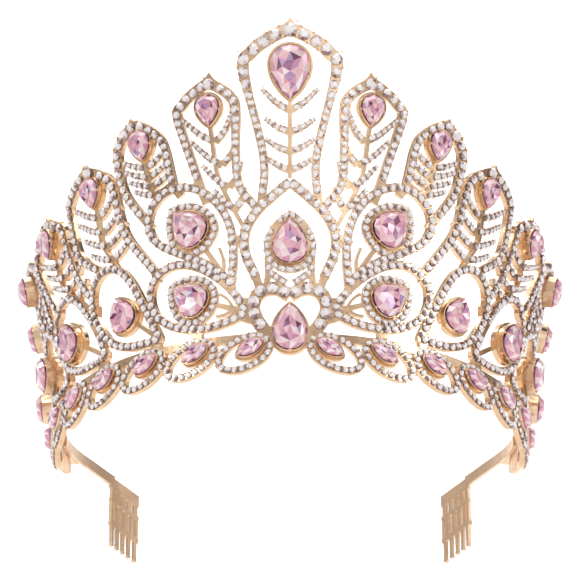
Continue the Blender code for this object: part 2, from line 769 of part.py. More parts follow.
def crystal_frame(centre):
    """Frame of the flat back under a crystal: sideways, up the wall and outwards."""
    origin = place(centre)
    outwards = (place(centre, 0.001) - origin).normalized()
    side = (place((centre[0] + 0.1, centre[1])) - origin).normalized()
    upwards = outwards.cross(side)
    frame = Matrix((side, upwards, outwards)).transposed().to_4x4()
    frame.translation = origin
    return frame


def comb_outlines(sign):
    """Arm, spine, slitted sheet and tines of one stamped comb, on the card of its own radius."""
    pitch = COMB_ARC / COMB_TINES
    web = math.radians(pitch) * COMB_RADIUS - SLIT_WIDTH
    end = COMB_START + COMB_ARC

    def at(angle, share):
        return (angle, share - COMB_DROP * (angle - COMB_START) / COMB_ARC)

    def bar(low, high):
        return [at(COMB_START, low), at(end, low), at(end, high), at(COMB_START, high)]

    pieces = [
        strip(smooth(ARM), ARM_WIDTH),
        bar(UPPER_SLITS[0], SPINE_TOP),
        bar(LOWER_SLITS[0], UPPER_SLITS[1]),
    ]
    for index in range(COMB_TINES):
        angle = COMB_START + pitch * (index + 0.5)
        upper = [at(angle, UPPER_SLITS[1] - SLIT_OVERLAP), at(angle, UPPER_SLITS[0] + SLIT_OVERLAP)]
        tine = [at(angle, LOWER_SLITS[1] + SLIT_OVERLAP), at(angle, TINE_TIPS)]
        root = [at(angle - 0.5 * pitch, LOWER_SLITS[1]), at(angle + 0.5 * pitch, LOWER_SLITS[1])]
        pieces += [
            strip(upper, web),
            strip(tine, TINE_WIDTH, TINE_TIP_WIDTH),
            strip(root, TINE_ROOT_WIDTH),
            round_outline(at(angle, TINE_TIPS), TINE_BEAD, 8),
        ]
    for index in range(COMB_TINES + 1):
        angle = COMB_START + pitch * index
        inset = 0.25 * pitch * ((index == 0) - (index == COMB_TINES))
        narrow = 0.5 * web if index in (0, COMB_TINES) else web
        rib = [at(angle + inset, LOWER_SLITS[1]), at(angle + inset, LOWER_SLITS[0] + SLIT_OVERLAP)]
        pieces.append(strip(rib, narrow))
    return [[(sign * angle, share) for angle, share in piece] for piece in pieces]


def build_comb(name, sign, finish, seat):
    """Stamped comb: one sheet with tines, bent to the ring."""
    rim, pairs = joined_outline(comb_outlines(sign))
    spots, triangles = filled(rim, pairs, [])
    sheet = bmesh.new()
    layers = []
    for proud in (COMB_SHEET, 0.0):
        layers.append([sheet.verts.new(place(unflat(spot), proud, COMB_RADIUS)) for spot in spots])
    for triangle in triangles:
        sheet.faces.new([layers[0][index] for index in triangle])
        sheet.faces.new([layers[1][index] for index in reversed(triangle)])
    rim_index = {tuple(np.round(tuple(spot), 7)): index for index, spot in enumerate(spots)}
    keys = [rim_index[tuple(np.round(tuple(corner), 7))] for corner in rim]
    for a, b in pairs:
        a, b = keys[a], keys[b]
        sheet.faces.new([layers[0][a], layers[0][b], layers[1][b], layers[1][a]])
    bmesh.ops.recalc_face_normals(sheet, faces=sheet.faces[:])
    mesh = bpy.data.meshes.new(name)
    sheet.to_mesh(mesh)
    sheet.free()
    return finished(name, mesh, finish, seat)


def main():
    for old in list(bpy.data.objects):
        bpy.data.objects.remove(old, do_unlink=True)
    crown = bpy.data.collections.new("crystal_crown")
    bpy.context.scene.collection.children.link(crown)
    seat = bpy.data.objects.new("head_seat", None)
    seat.rotation_euler.x = -math.radians(WORN_TILT)
    crown.objects.link(seat)
    rose_gold = material("rose_gold_casting", (0.72, 0.45, 0.33), 1.0, 0.22)
    pink = material("pink_crystal", (0.86, 0.58, 0.72), 0.0, 0.05)
    stamped = material("rose_gold_sheet", (0.66, 0.47, 0.36), 1.0, 0.42)
    build_casting(rose_gold, seat)
    for row in crystal_rows():
        build_crystal(row, pink, seat)
    build_comb("comb_right", 1.0, stamped, seat)
    build_comb("comb_left", -1.0, stamped, seat)


main()
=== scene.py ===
"""Crystal crown: the look of the rose-gold peacock-feather crown, its clear stones and pink crystals."""
# %% [markdown]
# # Crystal crown
#
# The crown's solids come in from its own frame. This notebook dresses them. The casting gets a finer
# outline and rounded edges, each setting gets its clear stones and gold beads, and each pink crystal
# gets its facets. Then come the materials, the floor, the lights and the camera.

import math
import random
from collections import namedtuple

import bmesh
import bpy
from mathutils import Matrix, Vector
from mathutils.geometry import delaunay_2d_cdt


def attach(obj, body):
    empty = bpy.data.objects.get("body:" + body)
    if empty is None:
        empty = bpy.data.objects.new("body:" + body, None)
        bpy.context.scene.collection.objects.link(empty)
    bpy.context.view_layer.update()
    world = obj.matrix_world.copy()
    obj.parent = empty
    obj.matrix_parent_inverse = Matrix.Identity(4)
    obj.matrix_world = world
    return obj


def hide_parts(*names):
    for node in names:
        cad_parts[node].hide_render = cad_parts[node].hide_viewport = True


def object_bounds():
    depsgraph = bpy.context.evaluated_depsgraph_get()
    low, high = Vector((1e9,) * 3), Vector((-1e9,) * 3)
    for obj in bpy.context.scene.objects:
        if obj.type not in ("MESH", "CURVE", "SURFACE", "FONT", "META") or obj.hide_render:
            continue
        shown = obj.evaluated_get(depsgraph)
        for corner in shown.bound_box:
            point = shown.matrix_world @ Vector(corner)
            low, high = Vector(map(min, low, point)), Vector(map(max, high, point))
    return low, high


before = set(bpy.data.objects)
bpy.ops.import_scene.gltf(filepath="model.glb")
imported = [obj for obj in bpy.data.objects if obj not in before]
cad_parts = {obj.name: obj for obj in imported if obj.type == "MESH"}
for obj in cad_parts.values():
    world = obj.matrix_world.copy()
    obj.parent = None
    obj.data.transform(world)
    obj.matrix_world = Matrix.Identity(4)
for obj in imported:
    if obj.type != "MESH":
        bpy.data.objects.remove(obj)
cad_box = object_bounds()
print("the crown's box:", cad_box)

# %% [markdown]
# ## The drawing
#
# The pattern is drawn on a card that wraps round the ring. A card point is an angle in degrees from
# the middle of the front and a height as a share of the middle feather's height. These are the same
# sizes and tables that the solids were made from, with finer steps along the curves.

# %% Sizes and tables of the drawing
# Ring, in metres and degrees; radii are of the casting's face
BAND_RADIUS = 0.076
FRONT_HEIGHT = 0.106
FLARE = 0.025
FLARE_POWER = 1.8
METAL = 0.0018
WORN_TILT = 22.0

# Strips of the casting, in metres
MIDDLE_ARCH_WIDTH = 0.0042
ARCH_WIDTH = 0.0035
ARCH_FOOT_WIDTH = 0.0027
ARCH_WIDENS = (0.52, 0.76)
STEM_WIDTH = 0.0013
BARB_WIDTH = 0.0025
BARB_TIP_WIDTH = 0.0013
EYE_WIDTH = 0.0027
OGEE_WIDTH = 0.0031
HEART_WIDTH = 0.0043
SCALLOP_WIDTH = 0.0023
RAIL_WIDTH = 0.0026
STALK_WIDTH = 0.0018
MIDDLE_SPIKE = 0.0088
SIDE_SPIKE = 0.0070
CUTTING_STEP = 0.0012
JOIN_WITHIN = 2e-5
LOOP_SAMPLES = 96
JOIN_SIDES = 10
RING_SIDES = 40
BOW_PEAK = 1.6
MARQUISE_POINT = 0.35

# Shares: bends of a stem, where its barbs begin and bend, and the foot of the spike
STEM_LOW = 0.60
STEM_HIGH = 0.15
BARBS_FROM = 0.30
BARB_BEND = 0.36
SPIKE_FROM = 0.10

# Feathers and eyes: lengths that the tables' shares follow, in metres
FEATHER_HALF_WIDTH = 0.0144
EYE_HALF_WIDTH = 0.0105

# Settings and stones, in metres
SEAT_RIM = 0.0008
SEAT_HEIGHT = 0.0003
OUTER_SEAT_HEIGHT = 0.0026
SEATS_RISE = (50.0, 80.0)
HALO_WIDTH = 0.0022
STONE_GAP = 0.0003
CRYSTAL_HEIGHT = 0.0028

# Band of scallops
SCALLOPS = 8
FIRST_SCALLOP = 11.8
SCALLOP_PITCH = 13.1
SCALLOP_POINT = (4.8, 0.013)
SCALLOP_HEAD = (-7.0, 0.074)
SCALLOP_HALF_WIDTH = 0.0047
SCALLOP_TAPER = 0.1
LAST_SCALLOP = 0.62
BAND_CRYSTAL = (-2.8, 0.057)
BAND_CRYSTAL_TURN = 62.0
RAIL_HEIGHT = 0.090
RAIL_STARTS = 6.5
RAIL_ENDS = 6.0

# Feathers: angles in degrees, heights as shares of FRONT_HEIGHT, widths as shares of
# FEATHER_HALF_WIDTH. The last two fields are the feet of the arch's two sides.
Feather = namedtuple("Feather", "tip top head half neck neck_half crystal stem inner outer")
FEATHERS = [Feather(*row) for row in (
    ((15.3, 0.872), (15.8, 0.838), (16.7, 0.752), 0.655, (15.2, 0.56), 0.43,
     (16.1, 0.764), (10.0, 0.418), (7.6, 0.480), (18.1, 0.503)),
    ((33.0, 0.790), (32.4, 0.765), (32.0, 0.675), 0.625, (31.2, 0.58), 0.61,
     (31.3, 0.703), (28.8, 0.535), (23.8, 0.535), (31.6, 0.462)),
    ((47.0, 0.714), (46.8, 0.686), (47.4, 0.600), 0.757, (46.3, 0.468), 0.77,
     (45.9, 0.622), (41.6, 0.370), (32.0, 0.335), (47.0, 0.385)),
    ((64.0, 0.645), (64.6, 0.618), (67.2, 0.540), 0.880, (64.4, 0.430), 0.76,
     (64.2, 0.560), (54.0, 0.305), (51.5, 0.315), (67.0, 0.345)),
    ((83.5, 0.622), (83.6, 0.598), (85.0, 0.525), 0.800, (82.4, 0.420), 0.70,
     (83.6, 0.524), (75.0, 0.310), (73.0, 0.335), (88.0, 0.330)),
    ((99.0, 0.540), (99.2, 0.515), (100.2, 0.450), 0.740, (98.0, 0.360), 0.62,
     (99.0, 0.462), (92.5, 0.270), (90.0, 0.290), (101.5, 0.250)),
)]
MIDDLE_FEATHER = Feather(
    (0.0, 1.007), (0.0, 0.972), (0.0, 0.862), 1.01, (0.0, 0.620), 0.57,
    (0.0, 0.856), (0.0, 0.560), (-6.1, 0.490), (6.1, 0.490),
)
# Rise from the widest place to the top, and the share of the width there
ARCH_SHAPE = ((0.0, 1.0), (0.46, 0.85), (0.80, 0.45))
# Share of the spike's width, and how far up it that is
SPIKE_SHAPE = ((1.0, 0.0), (0.52, 0.34), (0.20, 0.66))

# Barbs on each stem: where they leave it and how high they end, as shares of the stem, and how far
# out they reach as a share of the room there
MIDDLE_BARBS = ((0.02, 0.20, 0.90), (0.28, 0.46, 0.80), (0.55, 0.74, 0.70), (0.85, 1.15, 0.66))
SIDE_BARBS = ((0.06, 0.30, 0.80), (0.31, 0.58, 0.88), (0.56, 0.87, 0.92), (0.82, 1.12, 0.86))

# Eyes of the tail: bow is a share of the loop's length, and leans is in degrees from upright
Eye = namedtuple("Eye", "point end half taper bow crystal leans")
EYES = [Eye(*row) for row in (
    ((13.4, 0.252), (28.6, 0.540), 1.00, 1.5, 0.10, (22.5, 0.440), 38.0),
    ((10.3, 0.170), (33.0, 0.285), 0.94, 0.6, -0.02, (23.2, 0.228), 52.0),
    ((31.8, 0.130), (49.6, 0.366), 0.90, 0.8, -0.09, (41.5, 0.234), 16.0),
    ((48.6, 0.135), (69.0, 0.345), 0.98, 0.8, -0.05, (61.4, 0.236), 12.0),
    ((66.0, 0.135), (85.5, 0.320), 0.92, 0.8, -0.05, (78.5, 0.222), 10.0),
    ((82.0, 0.125), (98.5, 0.270), 0.78, 0.8, -0.04, (92.0, 0.186), 8.0),
)]

# Half of the arched frame round the middle crystal, and half of the heart under it
OGEE = ((0.0, 0.549), (3.3, 0.512), (7.1, 0.467), (9.8, 0.410), (9.9, 0.345), (7.7, 0.272))
HEART = ((0.0, 0.214), (3.2, 0.236), (6.6, 0.228), (8.4, 0.190), (7.7, 0.148), (5.8, 0.110),
         (4.2, 0.085))
HALO_LACE = ((4.9, 0.330), (4.8, 0.292), (3.2, 0.272), (0.9, 0.252))

# Crystals in the middle: centre, width, length in metres and whether the point is down
TOP_CRYSTAL = ((0.0, 0.856), 0.0122, 0.0168)
MIDDLE_CRYSTAL = ((0.0, 0.374), 0.0106, 0.0138)
HEART_CRYSTAL = ((0.0, 0.117), 0.0104, 0.0150)
FEATHER_CRYSTAL = (0.0074, 0.0096)
EYE_CRYSTAL = (0.0112, 0.0128)
MARQUISE = (0.0046, 0.0090)
POINT_DOWN = 180.0
Crystal = namedtuple("Crystal", "name centre shape width length turn")
RINGED = ("crystal_middle", "crystal_eye_1", "crystal_eye_2")
CRYSTAL_TAPER = 0.75

# Short bars that tie the loops together, from card point to card point
BARS = (
    ((8.6, 0.150), (13.5, 0.175), 0.0040),
    ((9.0, 0.200), (12.5, 0.205), 0.0022),
    ((9.9, 0.390), (13.6, 0.370), 0.0034),
    ((7.7, 0.272), (6.6, 0.228), 0.0026),
    ((4.6, 0.300), (5.6, 0.228), 0.0020),
    ((5.8, 0.108), (5.6, 0.075), 0.0034),
    ((21.8, 0.128), (21.8, 0.088), 0.0034),
    ((32.4, 0.140), (33.0, 0.088), 0.0034),
    ((49.5, 0.140), (50.5, 0.088), 0.0034),
    ((67.2, 0.140), (68.0, 0.088), 0.0034),
    ((84.4, 0.130), (84.8, 0.088), 0.0034),
    ((32.0, 0.338), (31.6, 0.300), 0.0026),
    ((20.0, 0.310), (19.0, 0.330), 0.0034),
    ((51.0, 0.300), (52.0, 0.240), 0.0030),
    ((70.0, 0.310), (71.5, 0.230), 0.0030),
    ((87.5, 0.320), (88.0, 0.230), 0.0030),
)


# %% Functions of the drawing
def radius_at(share):
    """Radius of the casting's face at a height, given as a share of FRONT_HEIGHT."""
    return BAND_RADIUS + FLARE * max(share, 0.0) ** FLARE_POWER


def lean_at(share):
    """Angle from upright of the casting's wall at a height, in radians."""
    rise = FLARE * FLARE_POWER * max(share, 0.0) ** (FLARE_POWER - 1.0) / FRONT_HEIGHT
    return math.atan(rise)


def place(point, proud=0.0):
    """Card point to a place on the upright ring, proud metres in front of its face."""
    angle = math.radians(point[0])
    lean = lean_at(point[1])
    reach = radius_at(point[1]) + proud * math.cos(lean)
    return Vector((
        reach * math.sin(angle),
        -reach * math.cos(angle),
        point[1] * FRONT_HEIGHT - proud * math.sin(lean),
    ))


def across(metres, share):
    """Degrees round the ring for a length along it."""
    return math.degrees(metres / radius_at(share))


def up(metres, share):
    """Share of height for a length up the wall."""
    return metres * math.cos(lean_at(share)) / FRONT_HEIGHT


def moved(point, sideways, upwards):
    """Card point moved by lengths in metres."""
    return (point[0] + across(sideways, point[1]), point[1] + up(upwards, point[1]))


def between(start, end):
    """Vector in metres from one card point to another."""
    share = 0.5 * (start[1] + end[1])
    return Vector((
        math.radians(end[0] - start[0]) * radius_at(share),
        (end[1] - start[1]) * FRONT_HEIGHT / math.cos(lean_at(share)),
    ))


def mixed(start, end, share):
    """Card point part of the way from start to end."""
    return tuple(a + (b - a) * share for a, b in zip(start, end))


def mirrored(points):
    """The same path on the other side of the crown."""
    return [(-angle, share) for angle, share in points]


def smooth(points):
    """Curve through the points, sampled about every CUTTING_STEP."""
    ends = [mixed(points[0], points[1], -1.0)] + list(points) + [mixed(points[-1], points[-2], -1.0)]
    path = [points[0]]
    for before, start, end, after in zip(ends, ends[1:], ends[2:], ends[3:]):
        count = max(1, round(between(start, end).length / CUTTING_STEP))
        for index in range(1, count + 1):
            t = index / count
            weights = (
                -0.5 * t ** 3 + t ** 2 - 0.5 * t,
                1.5 * t ** 3 - 2.5 * t ** 2 + 1.0,
                -1.5 * t ** 3 + 2.0 * t ** 2 + 0.5 * t,
                0.5 * t ** 3 - 0.5 * t ** 2,
            )
            corners = (before, start, end, after)
            path.append(tuple(sum(w * c[axis] for w, c in zip(weights, corners)) for axis in (0, 1)))
    return path


def lengths_along(path):
    """Running length of a path at each of its points, in metres."""
    run = [0.0]
    for start, end in zip(path, path[1:]):
        run.append(run[-1] + between(start, end).length)
    return run


def point_along(path, distance):
    """Card point and direction at a distance along a path."""
    run = lengths_along(path)
    index = 0
    while index < len(path) - 2 and run[index + 1] < distance:
        index += 1
    span = max(run[index + 1] - run[index], 1e-9)
    spot = mixed(path[index], path[index + 1], (distance - run[index]) / span)
    return spot, between(path[index], path[index + 1]).normalized()


def strip(path, start_width, end_width=None, widens=(0.0, 1.0)):
    """Outline of a strip along a path; widens is the part of it where its width changes."""
    end_width = start_width if end_width is None else end_width
    run = lengths_along(path)
    left = []
    right = []
    for index, point in enumerate(path):
        before = path[max(index - 1, 0)]
        after = path[min(index + 1, len(path) - 1)]
        direction = between(before, after).normalized()
        half = 0.5 * width_at(run[index] / run[-1], start_width, end_width, widens)
        left.append(moved(point, -direction.y * half, direction.x * half))
        right.append(moved(point, direction.y * half, -direction.x * half))
    return left + right[::-1]


def width_at(share, start_width, end_width, widens):
    """Width of a strip at a share of its path."""
    grown = min(max((share - widens[0]) / (widens[1] - widens[0]), 0.0), 1.0)
    return start_width + (end_width - start_width) * grown


def loop_strips(path, width):
    """A closed path as two strips that overlap at the far end, and a round join at its point."""
    half = len(path) // 2
    join = round_outline(path[0], width, JOIN_SIDES)
    return [strip(path[: half + 2], width), strip(path[half:], width), join]


def evenly(path):
    """The same path with its points spaced evenly, about CUTTING_STEP apart."""
    total = lengths_along(path)[-1]
    count = max(8, round(total / CUTTING_STEP))
    inner = [point_along(path, total * index / count)[0] for index in range(1, count)]
    return [path[0]] + inner + [path[-1]]


def pear_width(half_width, along, taper):
    """Half width of a pear at a share of its length; taper pinches the pointed half."""
    peak = (1.0 + taper) / (2.0 + taper)
    highest = peak ** (0.5 * (1.0 + taper)) * math.sqrt(1.0 - peak)
    return half_width * along ** (0.5 * (1.0 + taper)) * math.sqrt(max(1.0 - along, 0.0)) / highest


def teardrop(point, end, half_width, taper, bow=0.0):
    """Closed loop from its point round the far end and back."""
    axis = between(point, end)
    side = Vector((-axis.y, axis.x)) / axis.length
    path = []
    for index in range(LOOP_SAMPLES + 1):
        turn = 2.0 * math.pi * index / LOOP_SAMPLES
        along = 0.5 * (1.0 - math.cos(turn))
        width = pear_width(half_width, along, taper)
        width = width if turn < math.pi else -width
        arch = BOW_PEAK * bow * axis.length * math.sin(math.pi * along) * (1.0 - along)
        path.append(moved(point, *(axis * along + side * (width + arch))))
    return evenly(path)


def pear_outline(centre, width, length, turn, sides, grow):
    """Pear outline round a card point; at turn 0 the point is up."""
    outline = []
    for index in range(sides):
        angle = 2.0 * math.pi * index / sides
        along = 0.5 * (1.0 - math.cos(angle))
        bulge = pear_width(1.0, along, CRYSTAL_TAPER)
        bulge = bulge if angle < math.pi else -bulge
        outline.append(Vector((0.5 * width * bulge, length * (0.5 - along))))
    return set_round(centre, outline, turn, grow)


def marquise_outline(centre, width, length, turn, sides, grow):
    """Boat-shaped outline round a card point; at turn 0 it stands upright."""
    outline = []
    for index in range(sides):
        angle = 2.0 * math.pi * index / sides
        x = 0.5 * width * math.sin(angle) * abs(math.sin(angle)) ** MARQUISE_POINT
        outline.append(Vector((x, 0.5 * length * math.cos(angle))))
    return set_round(centre, outline, turn, grow)


def round_outline(centre, diameter, sides):
    """Round outline about a card point."""
    corners = [2.0 * math.pi * index / sides for index in range(sides)]
    return [
        moved(centre, 0.5 * diameter * math.cos(angle), 0.5 * diameter * math.sin(angle))
        for angle in corners
    ]


def set_round(centre, outline, turn, grow):
    """Local outline in metres, grown outwards and turned, as card points round centre."""
    spin = Matrix.Rotation(math.radians(turn), 2)
    spots = []
    for corner in outline:
        reach = corner.length
        grown = corner * ((reach + grow) / reach) if reach else corner
        spots.append(moved(centre, *(spin @ grown)))
    return spots


def feather_paths(row):
    """Arch and stem of one feather."""
    sides = []
    for side, foot in ((-FEATHER_HALF_WIDTH, row.inner), (FEATHER_HALF_WIDTH, row.outer)):
        points = [foot, moved(row.neck, side * row.neck_half, 0.0)]
        for rise, share in ARCH_SHAPE:
            points.append(moved(mixed(row.head, row.top, rise), side * row.half * share, 0.0))
        sides.append(points)
    arch = smooth(sides[0] + [row.top] + sides[1][::-1])
    low, high = mixed(row.stem, row.neck, STEM_LOW), mixed(row.neck, stem_top(row), STEM_HIGH)
    spine = smooth([row.stem, low, high, stem_top(row)])
    return arch, spine


def stem_top(row):
    """Where a feather's stem meets its crystal."""
    length = TOP_CRYSTAL[2] if row is MIDDLE_FEATHER else FEATHER_CRYSTAL[1]
    return moved(row.crystal, 0.0, -0.5 * length)


def barb_paths(row, barbs):
    """Curved barbs that leave a feather's stem on both sides."""
    foot = mixed(row.stem, row.neck, BARBS_FROM)
    paths = []
    for leaves, ends, reach in barbs:
        start = mixed(foot, stem_top(row), leaves)
        end = mixed(foot, stem_top(row), ends)
        share = min(max((end[1] - row.neck[1]) / (row.head[1] - row.neck[1]), 0.0), 1.0)
        room = FEATHER_HALF_WIDTH * (row.neck_half + (row.half - row.neck_half) * share) * reach
        for side in (-1.0, 1.0):
            far = moved(end, side * room, 0.0)
            middle = moved(mixed(start, end, BARB_BEND), side * room * 0.50, 0.0)
            paths.append(smooth([start, middle, far]))
    return paths


def spike(row, width):
    """Pointed tip of a feather, drawn in from both sides."""
    low = mixed(row.top, row.tip, SPIKE_FROM)
    right, left = (
        [moved(mixed(low, row.tip, rise), half * share * width, 0.0) for share, rise in SPIKE_SHAPE]
        for half in (0.5, -0.5)
    )
    return right + [row.tip] + left[::-1]


def both_sides(paths):
    """Each path and its mirror image."""
    return [path for item in paths for path in (item, mirrored(item))]


def crystal_rows():
    """All the pink crystals."""
    rows = []
    for name, (centre, width, length), turn in (
        ("crystal_top", TOP_CRYSTAL, POINT_DOWN),
        ("crystal_middle", MIDDLE_CRYSTAL, 0.0),
        ("crystal_heart", HEART_CRYSTAL, 0.0),
    ):
        rows.append(Crystal(name, centre, "pear", width, length, turn))
    for side, sign in (("right", 1.0), ("left", -1.0)):
        for index, row in enumerate(FEATHERS, 1):
            rows.append(Crystal(
                f"crystal_feather_{index}_{side}", (sign * row.crystal[0], row.crystal[1]), "pear",
                *FEATHER_CRYSTAL, POINT_DOWN,
            ))
        for index, eye in enumerate(EYES, 1):
            rows.append(Crystal(
                f"crystal_eye_{index}_{side}", (sign * eye.crystal[0], eye.crystal[1]), "pear",
                EYE_CRYSTAL[0] * eye.half, EYE_CRYSTAL[1] * eye.half, -eye.leans * sign,
            ))
        for index in range(SCALLOPS):
            angle = FIRST_SCALLOP + SCALLOP_PITCH * index + BAND_CRYSTAL[0]
            rows.append(Crystal(
                f"crystal_band_{index + 1}_{side}", (sign * angle, BAND_CRYSTAL[1]), "marquise",
                *MARQUISE, BAND_CRYSTAL_TURN * sign,
            ))
    return rows


def seat_height(row):
    """How far a crystal's seat stands up; the pears' seats rise towards the ends of the crown."""
    if row.shape != "pear":
        return SEAT_HEIGHT
    return width_at(abs(row.centre[0]), SEAT_HEIGHT, OUTER_SEAT_HEIGHT, SEATS_RISE)


def crystal_outline(row, grow, sides, reach=1.0):
    """Outline of one crystal on the card, pulled in to a share of its reach, then grown."""
    outline = pear_outline if row.shape == "pear" else marquise_outline
    return outline(row.centre, row.width * reach, row.length * reach, row.turn, sides, grow)


def scallop_path(index):
    """Loop of one scallop of the band, counted from the middle."""
    angle = FIRST_SCALLOP + SCALLOP_PITCH * index
    point = (angle + SCALLOP_POINT[0], SCALLOP_POINT[1])
    head = (angle + SCALLOP_HEAD[0], SCALLOP_HEAD[1])
    size = LAST_SCALLOP if index == SCALLOPS - 1 else 1.0
    return teardrop(mixed(head, point, size), head, SCALLOP_HALF_WIDTH * size, SCALLOP_TAPER)


def flat(point):
    """Card point as plane coordinates for the outline work."""
    return Vector((math.radians(point[0]) * BAND_RADIUS, point[1] * FRONT_HEIGHT))


def unflat(spot):
    """Plane coordinates back to a card point."""
    return (math.degrees(spot[0] / BAND_RADIUS), spot[1] / FRONT_HEIGHT)


def anticlockwise(corners):
    """The corners in anticlockwise order, as the outline work needs them."""
    turns = sum(a.cross(b) for a, b in zip(corners, corners[1:] + corners[:1]))
    return corners if turns > 0.0 else corners[::-1]


print(len(FEATHERS), "feathers,", len(EYES), "eyes and", SCALLOPS, "scallops a side")


# %% [markdown]
# ## Rows of clear stones
#
# Each strip carries a row of stones, which grow as the strip widens. A row keeps clear of the stones
# that are set already, the largest first, and of the pink crystals.

# %% Collect outlines and rows of stones
MIDDLE_STONE = 0.0040
SIDE_STONE = 0.0033
FOOT_STONE = 0.0025
MIDDLE_TOP_STONE = 0.0052
SIDE_TOP_STONE = 0.0040
BARB_STONES = (0.0026, 0.0014)
EYE_STONE = 0.0026
OGEE_STONE = 0.0029
HEART_STONE = 0.0041
LACE_STONE = 0.0020
HALO_STONE = 0.0023
SCALLOP_STONE = 0.0022
STONE_PITCH = 1.04
MOST_STRETCH = 1.06
CLEAR_REACH = 0.76
LEAF_WIDTH = 0.0009
LEAF_BEND = 0.7
SPRIGGED_EYES = 2
STALK_FROM = 0.04
BARB_ROW_FROM = 0.10
HEART_ROW_ENDS = 0.86
HALO_EDGE = 0.86
HALO_ROW = 0.40
# Where each leaf leaves the stalk and ends, as shares, then its side and reach
LEAVES = ((0.20, 0.52, 1.0, 0.36), (0.20, 0.46, -1.0, 0.36))


def leaf_paths(eye):
    """Two small leaves on the stalk inside an eye."""
    axis = between(eye.point, eye.crystal)
    side_way = Vector((-axis.y, axis.x)).normalized() * eye.half * EYE_HALF_WIDTH
    paths = []
    for leaves, ends, side, reach in LEAVES:
        out = side_way * side * reach
        start = mixed(eye.point, eye.crystal, leaves)
        far = moved(mixed(eye.point, eye.crystal, ends), out.x, out.y)
        halfway = mixed(eye.point, eye.crystal, 0.5 * (leaves + ends))
        middle = moved(halfway, LEAF_BEND * out.x, LEAF_BEND * out.y)
        paths.append(smooth([start, middle, far]))
    return paths


def arch_rows(path, stone, top_stone):
    """Rows of stones up one half of an arch, with room left for the stone at its top."""
    total = lengths_along(path)[-1]
    end = 1.0 - 0.5 * top_stone / total
    first, last = ARCH_WIDENS
    return [
        ("feathers", path, 0.0, first, FOOT_STONE, FOOT_STONE),
        ("feathers", path, first, last, FOOT_STONE, stone),
        ("feathers", path, last, end, stone, stone),
    ]


def drawing():
    """Outlines of the casting, and rows of stones as (group, path, from, to, first size, last size)."""
    outlines = []
    rows = []
    for row in [MIDDLE_FEATHER] + FEATHERS:
        alone = row is MIDDLE_FEATHER
        width, stone = (MIDDLE_ARCH_WIDTH, MIDDLE_STONE) if alone else (ARCH_WIDTH, SIDE_STONE)
        top_stone = MIDDLE_TOP_STONE if alone else SIDE_TOP_STONE
        arch, spine = feather_paths(row)
        half = len(arch) // 2
        foot_width = min(width, ARCH_FOOT_WIDTH)
        halves = (arch[: half + 1], arch[: half - 1 : -1])
        barbed = barb_paths(row, MIDDLE_BARBS if alone else SIDE_BARBS)
        pieces = [strip(path, foot_width, width, ARCH_WIDENS) for path in halves]
        pieces += [strip(spine, STEM_WIDTH), spike(row, MIDDLE_SPIKE if alone else SIDE_SPIKE)]
        pieces += [strip(path, BARB_WIDTH, BARB_TIP_WIDTH) for path in barbed]
        found = [item for path in halves for item in arch_rows(path, stone, top_stone)]
        found += [("feathers", path, BARB_ROW_FROM, 1.0, *BARB_STONES) for path in barbed]
        share = 0.5 * top_stone / lengths_along(arch)[-1]
        found.append(("feathers", arch, 0.5 - share, 0.5 + share, top_stone, top_stone))
        if alone:
            outlines += pieces
            rows += found
        else:
            outlines += both_sides(pieces)
            rows += found + [(group, mirrored(path), *rest) for group, path, *rest in found]
    for index, eye in enumerate(EYES):
        loop = teardrop(eye.point, eye.end, eye.half * EYE_HALF_WIDTH, eye.taper, eye.bow)
        outlines += both_sides(loop_strips(loop, EYE_WIDTH))
        stalk = smooth([mixed(eye.point, eye.crystal, STALK_FROM), eye.crystal])
        outlines += both_sides([strip(stalk, STALK_WIDTH, STEM_WIDTH)])
        if index < SPRIGGED_EYES:
            outlines += both_sides([strip(path, LEAF_WIDTH) for path in leaf_paths(eye)])
        for path in (loop, mirrored(loop)):
            rows.append(("eyes", path, 0.0, 1.0, EYE_STONE, EYE_STONE))
    for path, width, stone, last in (
        (smooth(OGEE), OGEE_WIDTH, OGEE_STONE, 1.0),
        (smooth(HEART), HEART_WIDTH, HEART_STONE, HEART_ROW_ENDS),
        (smooth(HALO_LACE), HALO_WIDTH, LACE_STONE, 1.0),
    ):
        outlines += both_sides([strip(path, width)])
        for side in (path, mirrored(path)):
            rows.append(("middle", side, 0.0, last, stone, stone))
    for index in range(SCALLOPS):
        loop = scallop_path(index)
        outlines += both_sides(loop_strips(loop, SCALLOP_WIDTH))
        for path in (loop, mirrored(loop)):
            rows.append(("band", path, 0.0, 1.0, SCALLOP_STONE, SCALLOP_STONE))
    last = FIRST_SCALLOP + SCALLOP_PITCH * (SCALLOPS - 1)
    rail = smooth([(FIRST_SCALLOP - RAIL_STARTS, RAIL_HEIGHT), (last + RAIL_ENDS, RAIL_HEIGHT)])
    outlines += both_sides([strip(rail, RAIL_WIDTH)])
    for start, end, width in BARS:
        outlines += both_sides([strip([start, end], width)])
    for row in crystal_rows():
        ringed = row.name.startswith(RINGED)
        grow = SEAT_RIM + STONE_GAP
        outlines.append(crystal_outline(row, grow + (HALO_EDGE * HALO_WIDTH if ringed else 0.0), RING_SIDES))
        if ringed:
            ring = crystal_outline(row, grow + HALO_ROW * HALO_WIDTH, RING_SIDES)
            group = "middle" if row.name == "crystal_middle" else "eyes"
            rows.append((group, ring + ring[:1], 0.0, 1.0, HALO_STONE, HALO_STONE))
    return outlines, rows


outlines, rows = drawing()
print(len(outlines), "outlines and", len(rows), "rows of stones")


